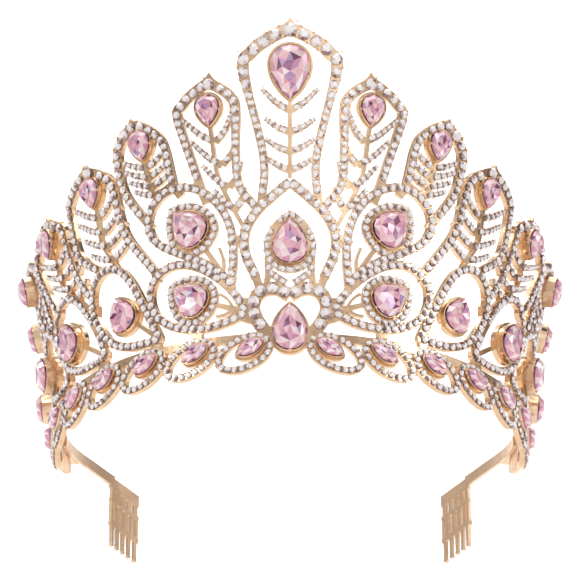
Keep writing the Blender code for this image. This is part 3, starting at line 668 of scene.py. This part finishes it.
# %% Space the stones along their rows
def spaced(row):
    """Stones of a row as (card point, direction, diameter), touching all along it."""
    path, first, last, small, large = row[1:]
    total = lengths_along(path)[-1]
    begin = first * total
    end = last * total
    mean = 0.5 * (small + large) * STONE_PITCH
    count = max(1, round((end - begin) / mean))
    sizes = [small + (large - small) * (index + 0.5) / count for index in range(count)]
    stretch = (end - begin) / (sum(sizes) * STONE_PITCH)
    stones = []
    run = begin
    for size in sizes:
        step = size * STONE_PITCH * stretch
        spot, direction = point_along(path, run + 0.5 * step)
        stones.append((spot, direction, size * min(stretch, MOST_STRETCH)))
        run += step
    return stones


def clear_of_others(stones, taken):
    """Stones whose middles stay clear of the stones already set."""
    return [
        (spot, direction, size) for spot, direction, size in stones
        if all(between(spot, other).length > CLEAR_REACH * 0.5 * (size + width) for other, width in taken)
    ]


def on_crystal(spot):
    """Whether a card point lies under a pink crystal, each taken as an oval."""
    for row in crystal_rows():
        offset = Matrix.Rotation(-math.radians(row.turn), 2) @ between(row.centre, spot)
        across_it = offset.x / (0.5 * row.width + SEAT_RIM)
        along_it = offset.y / (0.5 * row.length + SEAT_RIM)
        if across_it ** 2 + along_it ** 2 < 1.0:
            return True
    return False


groups = {"middle": [], "feathers": [], "eyes": [], "band": []}
taken = []
for row in sorted(rows, key=lambda row: -row[5]):
    fresh = [stone for stone in clear_of_others(spaced(row), taken) if not on_crystal(stone[0])]
    groups[row[0]] += fresh
    taken += [(spot, size) for spot, direction, size in fresh]
print({name: len(stones) for name, stones in groups.items()}, "stones")


# %% [markdown]
# ## The casting
#
# The strips are joined into one outline, given their thickness and bent to the ring, as the solid is.
# The edges are rounded by the material's bevel, so the metal keeps its thin bright lines.

# %% Shape of the casting
SEAT = Matrix.Rotation(-math.radians(WORN_TILT), 4, "X")


def linked(name, data):
    """A new object in the scene."""
    made = bpy.data.objects.new(name, data)
    bpy.context.scene.collection.objects.link(made)
    return made


def placed(name, mesh, slot, material, *nodes):
    """A piece of the crown in the scene, riding on its body."""
    mesh.transform(SEAT)
    mesh.update()
    mesh.materials.clear()
    mesh.materials.append(material)
    piece = linked(name, mesh)
    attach(piece, "root")
    if nodes:
        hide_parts(*nodes)
    return piece


def finished(shape, name):
    """Mesh of a shape that has been built up."""
    mesh = bpy.data.meshes.new(name)
    shape.to_mesh(mesh)
    shape.free()
    return mesh


def casting_mesh():
    """Mesh of the openwork ring in upright ring coordinates."""
    corners = []
    faces = []
    for outline in outlines:
        start = len(corners)
        corners += anticlockwise([flat(point) for point in outline])
        faces.append(list(range(start, len(corners))))
    spots, _, triangles, _, _, sources = delaunay_2d_cdt(corners, [], faces, 0, JOIN_WITHIN)
    kept = [triangle for triangle, source in zip(triangles, sources) if source]
    ways = {(face[index - 1], face[index]) for face in kept for index in range(3)}
    sheet = bmesh.new()
    front, back = (
        [sheet.verts.new(place(unflat(spot), proud)) for spot in spots] for proud in (0.0, -METAL)
    )
    for face in kept:
        sheet.faces.new([front[index] for index in face])
        sheet.faces.new([back[index] for index in reversed(face)])
    for a, b in ways:
        if (b, a) not in ways:
            sheet.faces.new([front[b], front[a], back[a], back[b]])
    bmesh.ops.delete(sheet, geom=[vert for vert in sheet.verts if not vert.link_faces], context="VERTS")
    bmesh.ops.recalc_face_normals(sheet, faces=sheet.faces[:])
    return finished(sheet, "ring_casting")


# %% [markdown]
# ## Materials
#
# The metals share one group that puts out a mask of fine wear, a roughness and a bump. The stones take
# their colour from how each facet was marked when it was cut. The marks pick painted reflections,
# highlights and shadows, and for the pink crystals also their own pink.

# %% Helpers for nodes
def socket(group, name, direction, kind, value=None):
    """A named socket on a node group."""
    made = group.interface.new_socket(name=name, in_out=direction, socket_type=kind)
    if value is not None:
        made.default_value = value
    return made


def feed(fed, inputs):
    """Links each input of a node to a socket, or gives it a value."""
    for name, value in inputs.items():
        if isinstance(value, bpy.types.NodeSocket):
            fed.id_data.links.new(value, fed.inputs[name])
        else:
            fed.inputs[name].default_value = value


def node(tree, kind, inputs=None, **settings):
    """A new node with its settings and inputs."""
    made = tree.nodes.new(kind)
    for name, value in settings.items():
        setattr(made, name, value)
    feed(made, inputs or {})
    return made


def set_ramp(ramp, tones):
    """Gives a colour ramp its tones, each with its place along it."""
    elements = ramp.color_ramp.elements
    while len(elements) < len(tones):
        elements.new(1.0)
    for element, (at, colour) in zip(elements, tones):
        element.position = at
        element.color = (*colour, 1.0)


def new_material(name):
    """A material and its main shader."""
    made = bpy.data.materials.new(name)
    made.use_nodes = True
    return made, made.node_tree.nodes["Principled BSDF"]


# %% Shared shader group
WEAR_DETAIL = 3.0
WEAR_RANGE = (0.35, 0.65)
WEAR_ROUGHENS = 0.08
EDGE_SAMPLES = 4
BUMP_STRENGTH = 0.35
BUMP_DISTANCE = 0.0003


def metal_group():
    """Cast metal: a mask of wear, a roughness and a normal with a soft, uneven surface."""
    group = bpy.data.node_groups.new("cast_surface", "ShaderNodeTree")
    for name, value in (("Scale", 600.0), ("Roughness", 0.2), ("Edge", 0.00025)):
        socket(group, name, "INPUT", "NodeSocketFloat", value)
    for name, kind in (("Wear", "Float"), ("Roughness", "Float"), ("Normal", "Vector")):
        socket(group, name, "OUTPUT", f"NodeSocket{kind}")
    given = node(group, "NodeGroupInput").outputs
    where = node(group, "ShaderNodeTexCoord").outputs["Object"]
    noise = node(group, "ShaderNodeTexNoise", {
        "Vector": where, "Scale": given["Scale"], "Detail": WEAR_DETAIL,
    }).outputs["Fac"]
    wear = node(group, "ShaderNodeMapRange", {
        "Value": noise, "From Min": WEAR_RANGE[0], "From Max": WEAR_RANGE[1],
    }).outputs["Result"]
    rough = node(group, "ShaderNodeMath", {
        0: wear, 1: WEAR_ROUGHENS, 2: given["Roughness"],
    }, operation="MULTIPLY_ADD").outputs[0]
    edge = node(group, "ShaderNodeBevel", {"Radius": given["Edge"]}, samples=EDGE_SAMPLES)
    bump = node(group, "ShaderNodeBump", {
        "Strength": BUMP_STRENGTH, "Distance": BUMP_DISTANCE,
        "Height": noise, "Normal": edge.outputs["Normal"],
    })
    node(group, "NodeGroupOutput", {
        "Wear": wear, "Roughness": rough, "Normal": bump.outputs["Normal"],
    })
    return group


cast_surface = metal_group()
print("shared group:", cast_surface.name)


# %% Metals
def metal(name, light, deep, roughness, edge, scale):
    """Plated metal whose colour runs between two tones."""
    made, shader = new_material(name)
    surface = node(made.node_tree, "ShaderNodeGroup", {
        "Scale": scale, "Roughness": roughness, "Edge": edge,
    }, node_tree=cast_surface).outputs
    tint = node(made.node_tree, "ShaderNodeMix", {
        "Factor": surface["Wear"], "A": (*light, 1.0), "B": (*deep, 1.0),
    }, data_type="RGBA")
    feed(shader, {
        "Base Color": tint.outputs["Result"], "Roughness": surface["Roughness"],
        "Normal": surface["Normal"], "Metallic": 1.0,
    })
    return made


rose_gold = metal(
    "rose_gold_cast", (0.93, 0.69, 0.46), (0.80, 0.55, 0.35), roughness=0.18, edge=0.0004, scale=240.0,
)
rose_sheet = metal(
    "rose_gold_stamped", (0.94, 0.71, 0.50), (0.85, 0.61, 0.41), roughness=0.36, edge=0.0002, scale=300.0,
)
print("metals:", rose_gold.name, rose_sheet.name)


# %% Stones
# Each tone is a place along the ramp and a colour
CLOUD_SCALE = 420.0
CLOUD_DEPTH = 0.24
FACET_ROUGHNESS = 0.08
COAT_ROUGHNESS = 0.02
STONE_IOR = 1.55
# The clear stone has no colour of its own: its tones are painted shadow and dark reflections at the low end
# and painted white highlights at the top
CLEAR_REFLECTION_TONES = (
    (0.0, (0.16, 0.09, 0.08)),
    (0.22, (0.42, 0.29, 0.28)),
    (0.46, (0.74, 0.62, 0.61)),
    (0.70, (0.95, 0.88, 0.88)),
    (1.0, (1.0, 0.98, 0.98)),
)
# The crystal's own pink in the middle, with painted dark plum reflections at the low end, a painted violet
# reflected flash, and painted white highlights at the top
PINK_AND_REFLECTION_TONES = (
    (0.0, (0.15, 0.04, 0.09)),
    (0.14, (0.36, 0.12, 0.24)),
    (0.24, (0.50, 0.34, 0.62)),
    (0.40, (0.72, 0.30, 0.44)),
    (0.64, (0.90, 0.48, 0.56)),
    (0.84, (0.97, 0.70, 0.72)),
    (1.0, (1.0, 0.94, 0.96)),
)


def cut_stone(name, tones, metallic):
    """Cut stone: each facet's mark picks its colour from painted reflections, highlights and shadows, and a
    clear coat gives the sharp glints.
    """
    made, shader = new_material(name)
    tree = made.node_tree
    mark = node(tree, "ShaderNodeAttribute", attribute_name="facet").outputs["Fac"]
    where = node(tree, "ShaderNodeTexCoord").outputs["Object"]
    cloud = node(tree, "ShaderNodeTexNoise", {"Vector": where, "Scale": CLOUD_SCALE})
    lower = node(tree, "ShaderNodeMath", {0: mark, 1: 0.5 * CLOUD_DEPTH}, operation="SUBTRACT")
    shift = node(tree, "ShaderNodeMath", {
        0: cloud.outputs["Fac"], 1: CLOUD_DEPTH, 2: lower.outputs[0],
    }, operation="MULTIPLY_ADD")
    ramp = node(tree, "ShaderNodeValToRGB", {"Fac": shift.outputs[0]})
    set_ramp(ramp, tones)
    feed(shader, {
        "Base Color": ramp.outputs["Color"], "Roughness": FACET_ROUGHNESS, "Metallic": metallic,
        "Coat Weight": 1.0, "Coat Roughness": COAT_ROUGHNESS, "IOR": STONE_IOR,
    })
    return made


clear_stone = cut_stone("clear_crystal", CLEAR_REFLECTION_TONES, metallic=0.05)
pink_stone = cut_stone("pink_crystal_cut", PINK_AND_REFLECTION_TONES, metallic=0.12)
print("stones:", clear_stone.name, pink_stone.name)

# %% Add the casting
ring = placed("ring_casting", casting_mesh(), "rose_gold_casting", rose_gold, "openwork_ring")
print("casting:", len(ring.data.polygons), "faces")


# %% [markdown]
# ## Clear stones and beads
#
# A cloud of points holds where each stone sits, which way it faces and how large it is. A Geometry
# Nodes group sets one cut stone on each point, turns it about its own axis and shifts the tone that
# each facet was cut with by a random amount. These tones are painted light: a painted shadow on the
# girdle, painted reflections on the crown facets and a painted highlight on the table.

# %% Geometry Nodes that set stones
# Places of the float sockets on a random value node
FLOAT_MIN = 2
FLOAT_MAX = 3
FLOAT_OUT = 1
# Random shift of each facet's painted reflection tone
TONE_SHIFT = 0.22


def setting_group():
    """Geometry Nodes: one stone on each point, facing out, with a painted light tone on every facet."""
    group = bpy.data.node_groups.new("set_stones", "GeometryNodeTree")
    socket(group, "Geometry", "INPUT", "NodeSocketGeometry")
    entries = {
        "Stone": socket(group, "Stone", "INPUT", "NodeSocketObject"),
        "Material": socket(group, "Material", "INPUT", "NodeSocketMaterial"),
        "Seed": socket(group, "Seed", "INPUT", "NodeSocketInt", 7),
    }
    socket(group, "Geometry", "OUTPUT", "NodeSocketGeometry")
    given = node(group, "NodeGroupInput").outputs

    def named(kind, name):
        found = node(group, "GeometryNodeInputNamedAttribute", {"Name": name}, data_type=kind)
        return found.outputs["Attribute"]

    def chance(low, high):
        limits = {FLOAT_MIN: low, FLOAT_MAX: high, "Seed": given["Seed"]}
        return node(group, "FunctionNodeRandomValue", limits, data_type="FLOAT").outputs[FLOAT_OUT]

    aim = node(group, "FunctionNodeAlignRotationToVector", {
        "Vector": named("FLOAT_VECTOR", "facing"),
    }, axis="Z")
    spin = node(group, "FunctionNodeAxisAngleToRotation", {
        "Axis": (0.0, 0.0, 1.0), "Angle": chance(0.0, math.tau),
    })
    both = node(group, "FunctionNodeRotateRotation", {
        "Rotation": aim.outputs["Rotation"], "Rotate By": spin.outputs["Rotation"],
    }, rotation_space="LOCAL")
    source = node(group, "GeometryNodeObjectInfo", {"Object": given["Stone"]})
    scatter = node(group, "GeometryNodeInstanceOnPoints", {
        "Points": given["Geometry"], "Instance": source.outputs["Geometry"],
        "Rotation": both.outputs["Rotation"], "Scale": named("FLOAT", "size"),
    })
    whole = node(group, "GeometryNodeRealizeInstances", {"Geometry": scatter.outputs["Instances"]})
    toned = node(group, "ShaderNodeMath", {
        0: named("FLOAT", "tone"), 1: chance(-TONE_SHIFT, TONE_SHIFT),
    }, operation="ADD")
    mark = node(group, "GeometryNodeStoreNamedAttribute", {
        "Name": "facet", "Geometry": whole.outputs["Geometry"], "Value": toned.outputs[0],
    }, data_type="FLOAT", domain="FACE")
    dressed = node(group, "GeometryNodeSetMaterial", {
        "Geometry": mark.outputs["Geometry"], "Material": given["Material"],
    })
    node(group, "NodeGroupOutput", {"Geometry": dressed.outputs["Geometry"]})
    return group, {name: entry.identifier for name, entry in entries.items()}


set_stones, setting_inputs = setting_group()
print("group:", set_stones.name)

# %% Shapes of the stone and the bead
ROUND_SIDES = 8
# Reach and height of the girdle's foot, the girdle and the table
ROUND_LEVELS = ((1.0, -0.20), (0.95, 0.02), (0.46, 0.24))
# Tones painted on the facets: a painted shadow from the setting on the girdle, painted reflections on the
# crown facets, darker on one side, and a painted highlight on the table
GIRDLE_SHADOW_TONE = 0.02
CROWN_REFLECTION_TONES = (0.12, 0.40, 0.75, 0.98, 0.50, 1.0, 0.72, 0.24)
STAR_HIGHLIGHT_LIFT = 0.10
TABLE_HIGHLIGHT_TONE = 1.0


def cut_round():
    """A round stone one unit across: painted shadow on the girdle, crown facets with painted reflections,
    dark on one side, and a painted highlight on the table.
    """
    gem = bmesh.new()
    tone = gem.faces.layers.float.new("tone")
    rings = []
    for level, (reach, height) in enumerate(ROUND_LEVELS):
        twist = math.pi / ROUND_SIDES if level == 2 else 0.0
        corners = [math.tau * index / ROUND_SIDES + twist for index in range(ROUND_SIDES)]
        rings.append([
            gem.verts.new((0.5 * reach * math.cos(angle), 0.5 * reach * math.sin(angle), height))
            for angle in corners
        ])
    for index in range(ROUND_SIDES):
        nxt = (index + 1) % ROUND_SIDES
        for corners, value in (
            ((rings[0][index], rings[0][nxt], rings[1][nxt], rings[1][index]), GIRDLE_SHADOW_TONE),
            ((rings[1][index], rings[1][nxt], rings[2][index]), CROWN_REFLECTION_TONES[index]),
            ((rings[1][nxt], rings[2][nxt], rings[2][index]), CROWN_REFLECTION_TONES[index] + STAR_HIGHLIGHT_LIFT),
        ):
            gem.faces.new(corners)[tone] = value
    gem.faces.new(rings[2])[tone] = TABLE_HIGHLIGHT_TONE
    return linked("round_stone", finished(gem, "round_stone"))


def small_bead():
    """A gold bead one unit across."""
    ball = bmesh.new()
    bmesh.ops.create_icosphere(ball, subdivisions=1, radius=0.5)
    mesh = finished(ball, "small_bead")
    mesh.shade_smooth()
    return linked("small_bead", mesh)


def point_cloud(name, spots):
    """Points with the way each one faces and its size."""
    mesh = bpy.data.meshes.new(name)
    mesh.from_pydata([spot[0] for spot in spots], [], [])
    mesh.attributes.new("facing", "FLOAT_VECTOR", "POINT")
    mesh.attributes.new("size", "FLOAT", "POINT")
    for index, (_, facing, size) in enumerate(spots):
        mesh.attributes["facing"].data[index].vector = facing
        mesh.attributes["size"].data[index].value = size
    return mesh


def set_on(name, spots, source, material, slot, seed):
    """Plain mesh of one source object set on every spot."""
    cloud = linked(name, point_cloud(name, spots))
    nodes = cloud.modifiers.new("setting", "NODES")
    nodes.node_group = set_stones
    nodes[setting_inputs["Stone"]] = source
    nodes[setting_inputs["Material"]] = material
    nodes[setting_inputs["Seed"]] = seed
    graph = bpy.context.evaluated_depsgraph_get()
    mesh = bpy.data.meshes.new_from_object(cloud.evaluated_get(graph))
    bpy.data.objects.remove(cloud, do_unlink=True)
    mesh.name = name
    return placed(name, mesh, slot, material)


def outward(spot):
    """Way out of the casting's face at a card point."""
    return (place(spot, 0.001) - place(spot)).normalized()


# %% Set the clear stones and their beads
STONE_SITS = 0.18
BEAD_OUT = 0.50
BEAD_DIAMETER = 0.00062
BEAD_SITS = 0.0002
FIRST_SEED = 11
round_stone = cut_round()
bead = small_bead()
for seed, (group, stones) in enumerate(groups.items(), FIRST_SEED):
    spots = []
    beads = []
    for spot, direction, size in stones:
        spots.append((place(spot, STONE_SITS * size), outward(spot), size))
        for side in (-1.0, 1.0):
            ahead = direction * (0.5 * STONE_PITCH * size)
            aside = Vector((-direction.y, direction.x)) * (side * BEAD_OUT * size)
            at = moved(spot, ahead.x + aside.x, ahead.y + aside.y)
            if not on_crystal(at):
                diameter = BEAD_DIAMETER * (size / EYE_STONE) ** 0.5
                beads.append((place(at, BEAD_SITS), outward(at), diameter))
    made = set_on(f"clear_stones_{group}", spots, round_stone, clear_stone, "pink_crystal", seed)
    set_on(f"gold_beads_{group}", beads, bead, rose_gold, "rose_gold_casting", seed)
    print(group, len(spots), "stones,", len(made.data.polygons), "facets and", len(beads), "beads")


# %% [markdown]
# ## Pink crystals
#
# Each crystal has a girdle, a ring of crown facets and a table. In the real crystal the facets of its
# pointed back show through the table. Here the table is cut into triangles that dip a little to the
# middle, and they carry painted reflections of those back facets.

# %% Cut the crystals
# Height of each level as a share of CRYSTAL_HEIGHT, and its share of the outline's reach
GEM_LEVELS = {
    "girdle_low": (0.12, 0.93), "girdle": (0.40, 1.0), "crown": (0.78, 0.86),
    "table": (1.0, 0.72), "star": (0.94, 0.42),
}
GEM_MIDDLE = 0.84
GEM_SIDES = 16
GEM_SEED = 5
# Range of tones of each kind of facet: dark and violet are painted reflections, pale is a painted highlight,
# pink is the crystal's own colour, and the border runs from dark plum to pink
DARK_REFLECTION_FACET = (0.0, 0.22)
VIOLET_REFLECTION_FACET = (0.20, 0.36)
PINK_FACET = (0.42, 0.72)
PALE_HIGHLIGHT_FACET = (0.74, 1.0)
BORDER_FACET = (0.10, 0.56)
# Chances of each kind of painted reflection on the facets under the table
UNDER_TABLE_REFLECTIONS = ((0.16, DARK_REFLECTION_FACET), (0.32, VIOLET_REFLECTION_FACET), (0.76, PINK_FACET), (1.0, PALE_HIGHLIGHT_FACET))


def cut_crystal(row, chance):
    """Mesh of a crystal with its facets, in upright ring coordinates."""
    low = seat_height(row) + STONE_GAP
    gem = bmesh.new()
    outwards = outward(row.centre)
    origin = place(row.centre)
    side = (place((row.centre[0] + 0.1, row.centre[1])) - origin).normalized()
    upwards = outwards.cross(side)

    def corner(index, level):
        height, reach = GEM_LEVELS[level]
        point = crystal_outline(row, 0.0, GEM_SIDES, reach)[index % GEM_SIDES]
        offset = between(row.centre, point)
        proud = low + height * CRYSTAL_HEIGHT
        return gem.verts.new(origin + side * offset.x + upwards * offset.y + outwards * proud)

    # Each facet's mark places it on the pink ramp, whose ends are painted reflections and highlights
    facets = gem.faces.layers.float.new("facet")

    def facet(corners, tones):
        face = gem.faces.new(corners)
        face[facets] = chance.uniform(*tones)

    # Painted reflection of a back facet seen through the table, drawn at random
    def under_table_reflection():
        draw = chance.random()
        return next(tones for share, tones in UNDER_TABLE_REFLECTIONS if draw <= share)

    count = GEM_SIDES // 2
    low_ring = [corner(i, "girdle_low") for i in range(GEM_SIDES)]
    girdle = [corner(i, "girdle") for i in range(GEM_SIDES)]
    crown = [corner(2 * k + 1, "crown") for k in range(count)]
    table = [corner(2 * k, "table") for k in range(count)]
    star = [corner(2 * k + 1, "star") for k in range(count)]
    middle = gem.verts.new(origin + outwards * (low + GEM_MIDDLE * CRYSTAL_HEIGHT))
    for i in range(GEM_SIDES):
        j = (i + 1) % GEM_SIDES
        facet((low_ring[i], low_ring[j], girdle[j], girdle[i]), BORDER_FACET)
    facet(low_ring[::-1], BORDER_FACET)
    for k in range(count):
        nxt = (k + 1) % count
        facet((girdle[2 * k], girdle[2 * k + 1], crown[k]), BORDER_FACET)
        facet((girdle[2 * k + 1], girdle[(2 * k + 2) % GEM_SIDES], crown[k]), PINK_FACET)
        facet((girdle[2 * k], crown[k], table[k]), PINK_FACET)
        facet((girdle[2 * k], table[k], crown[k - 1]), PALE_HIGHLIGHT_FACET)
        facet((crown[k], table[nxt], table[k]), PALE_HIGHLIGHT_FACET)
        facet((table[k], table[nxt], star[k]), under_table_reflection())
        facet((table[nxt], star[nxt], star[k]), under_table_reflection())
        facet((star[k], star[nxt], middle), under_table_reflection())
    bmesh.ops.recalc_face_normals(gem, faces=gem.faces[:])
    return finished(gem, row.name)


chance = random.Random(GEM_SEED)
for row in crystal_rows():
    gem_name = row.name.replace("crystal", "gem")
    placed(gem_name, cut_crystal(row, chance), "pink_crystal", pink_stone, row.name)
print(len(crystal_rows()), "crystals cut")

# %% [markdown]
# ## Settings
#
# A thin gold wall stands round each crystal, with small claws that hold it at its sides.

# %% Walls and claws of the settings
WALL = 0.00028
WALL_GAP = 0.0002
WALL_HIGH = 0.0011
CLAW = 0.0010
CLAW_OUT = 0.0001
CLAW_SEED = 3
WALL_FOOT = 1.6
SETTING_SIDES = 28
# Eighths of the outline with a claw
PEAR_CLAWS = (0, 2, 4, 6)
MARQUISE_CLAWS = (0, 4)


def setting_wall(row, sheet):
    """Adds the wall round one crystal to a mesh."""
    rings = []
    high = seat_height(row) + WALL_HIGH
    for grow, proud in (
        (WALL_GAP, 0.0),
        (WALL_GAP, high),
        (WALL_GAP + WALL, high),
        (WALL_GAP + WALL_FOOT * WALL, 0.0),
    ):
        points = crystal_outline(row, grow, SETTING_SIDES)
        rings.append([sheet.verts.new(place(point, proud)) for point in points])
    for inner, outer in zip(rings, rings[1:] + rings[:1]):
        for i in range(SETTING_SIDES):
            j = (i + 1) % SETTING_SIDES
            sheet.faces.new((inner[i], inner[j], outer[j], outer[i]))


walls = bmesh.new()
claws = []
for row in crystal_rows():
    setting_wall(row, walls)
    held = PEAR_CLAWS if row.shape == "pear" else MARQUISE_CLAWS
    for index, point in enumerate(crystal_outline(row, CLAW_OUT, 8)):
        if index in held:
            claws.append((place(point, seat_height(row) + WALL_HIGH), outward(point), CLAW))
bmesh.ops.recalc_face_normals(walls, faces=walls.faces[:])
placed("setting_walls", finished(walls, "setting_walls"), "rose_gold_casting", rose_gold)
set_on("setting_claws", claws, bead, rose_gold, "rose_gold_casting", CLAW_SEED)
print(len(claws), "claws")
for source in (round_stone, bead):
    bpy.data.objects.remove(source, do_unlink=True)

# %% Combs
for side in ("left", "right"):
    comb = bpy.data.objects[f"comb_{side}"]
    for slot in comb.material_slots:
        slot.material = rose_sheet
    print(comb.name, "has", rose_sheet.name)


# %% [markdown]
# ## Floor, light and camera
#
# The crown hangs a little over a pale floor that curves up behind it.

# %% Floor
FLOOR_GAP = 0.012
FLOOR_Z = cad_box[0][2] - FLOOR_GAP
SWEEP_FRONT = -2.2
SWEEP_HALF_WIDTH = 3.0
SWEEP_STEPS = 16
SWEEP_DEEP = 2.6
SWEEP_HIGH = 1.6
SWEEP_RADIUS = 0.7
PAPER_TONE = 0.92
PAPER_ROUGHNESS = 0.9


def sweep():
    """Seamless floor that curves up into a wall behind the crown."""
    profile = [(SWEEP_FRONT, FLOOR_Z)]
    for index in range(SWEEP_STEPS + 1):
        angle = 0.5 * math.pi * index / SWEEP_STEPS
        profile.append((
            SWEEP_DEEP - SWEEP_RADIUS + SWEEP_RADIUS * math.sin(angle),
            FLOOR_Z + SWEEP_RADIUS * (1.0 - math.cos(angle)),
        ))
    profile.append((SWEEP_DEEP, FLOOR_Z + SWEEP_HIGH))
    verts = [(x, y, z) for x in (-SWEEP_HALF_WIDTH, SWEEP_HALF_WIDTH) for y, z in profile]
    count = len(profile)
    faces = [(i, i + 1, count + i + 1, count + i) for i in range(count - 1)]
    mesh = bpy.data.meshes.new("floor_sweep")
    mesh.from_pydata(verts, [], faces)
    mesh.shade_smooth()
    return mesh


floor = linked("floor_sweep", sweep())
paper, paper_shader = new_material("white_paper")
feed(paper_shader, {
    "Base Color": (PAPER_TONE, PAPER_TONE, PAPER_TONE, 1.0), "Roughness": PAPER_ROUGHNESS,
})
floor.data.materials.append(paper)
print("floor at", FLOOR_Z)


# %% Lights
def area_light(name, where, aim, size, power):
    """Rectangular soft light that looks at a point."""
    lamp = bpy.data.lights.new(name, "AREA")
    lamp.shape = "RECTANGLE"
    lamp.size, lamp.size_y = size
    lamp.energy = power
    made = linked(name, lamp)
    made.location = where
    made.rotation_euler = (Vector(aim) - Vector(where)).to_track_quat("-Z", "Y").to_euler()
    print(name, power, "W")


AIM = (0.0, -0.03, 0.04)
area_light("key_left", (-0.9, -0.5, 0.9), AIM, (0.5, 0.5), 3.4)
area_light("key_right", (1.0, -0.4, 0.6), AIM, (0.5, 0.5), 2.6)
area_light("top_soft", (0.0, -0.1, 1.1), AIM, (0.9, 0.6), 3.0)
area_light("front_soft", (0.0, -1.6, 0.5), AIM, (1.8, 1.0), 3.6)
area_light("back_floor", (0.0, 0.45, 0.9), (0.0, 1.2, 0.1), (1.6, 0.5), 15.0)
area_light("back_wall", (0.0, 1.85, 0.9), (0.0, 2.6, 0.3), (1.6, 0.5), 14.0)


# %% World
# The room round the crown is soft and uneven, with pale panels and darker gaps between them, so that
# the polished metal and the facets have something to mirror.
ROOM_SCALE = 2.2
ROOM_DETAIL = 1.0
ROOM_STRENGTH = 0.66
ROOM_TONES = (
    (0.42, (0.08, 0.06, 0.06)),
    (0.50, (0.40, 0.36, 0.35)),
    (0.60, (1.15, 1.12, 1.10)),
)
world = bpy.data.worlds.new("studio")
bpy.context.scene.world = world
world.use_nodes = True
way = node(world.node_tree, "ShaderNodeTexCoord")
room = node(world.node_tree, "ShaderNodeTexNoise", {
    "Vector": way.outputs["Generated"], "Scale": ROOM_SCALE, "Detail": ROOM_DETAIL,
})
panels = node(world.node_tree, "ShaderNodeValToRGB", {"Fac": room.outputs["Fac"]})
set_ramp(panels, ROOM_TONES)
feed(world.node_tree.nodes["Background"], {
    "Color": panels.outputs["Color"], "Strength": ROOM_STRENGTH,
})
print("world:", world.name)

# %% Camera
CAMERA_BACK = 1.099
FOCAL_PIXELS = 3392.0
PICTURE_PIXELS = 580.0
SENSOR = 36.0
HORIZON_ROW = 459.5
camera = linked("camera", bpy.data.cameras.new("camera"))
camera.data.sensor_width = SENSOR
camera.data.lens = SENSOR * FOCAL_PIXELS / PICTURE_PIXELS
pitch = math.atan((HORIZON_ROW - 0.5 * PICTURE_PIXELS) / FOCAL_PIXELS)
camera.location = (0.0, -CAMERA_BACK, 0.0)
camera.rotation_euler = (0.5 * math.pi + pitch, 0.0, 0.0)
bpy.context.scene.camera = camera
bpy.context.scene.view_settings.view_transform = "Standard"
print("lens:", camera.data.lens)
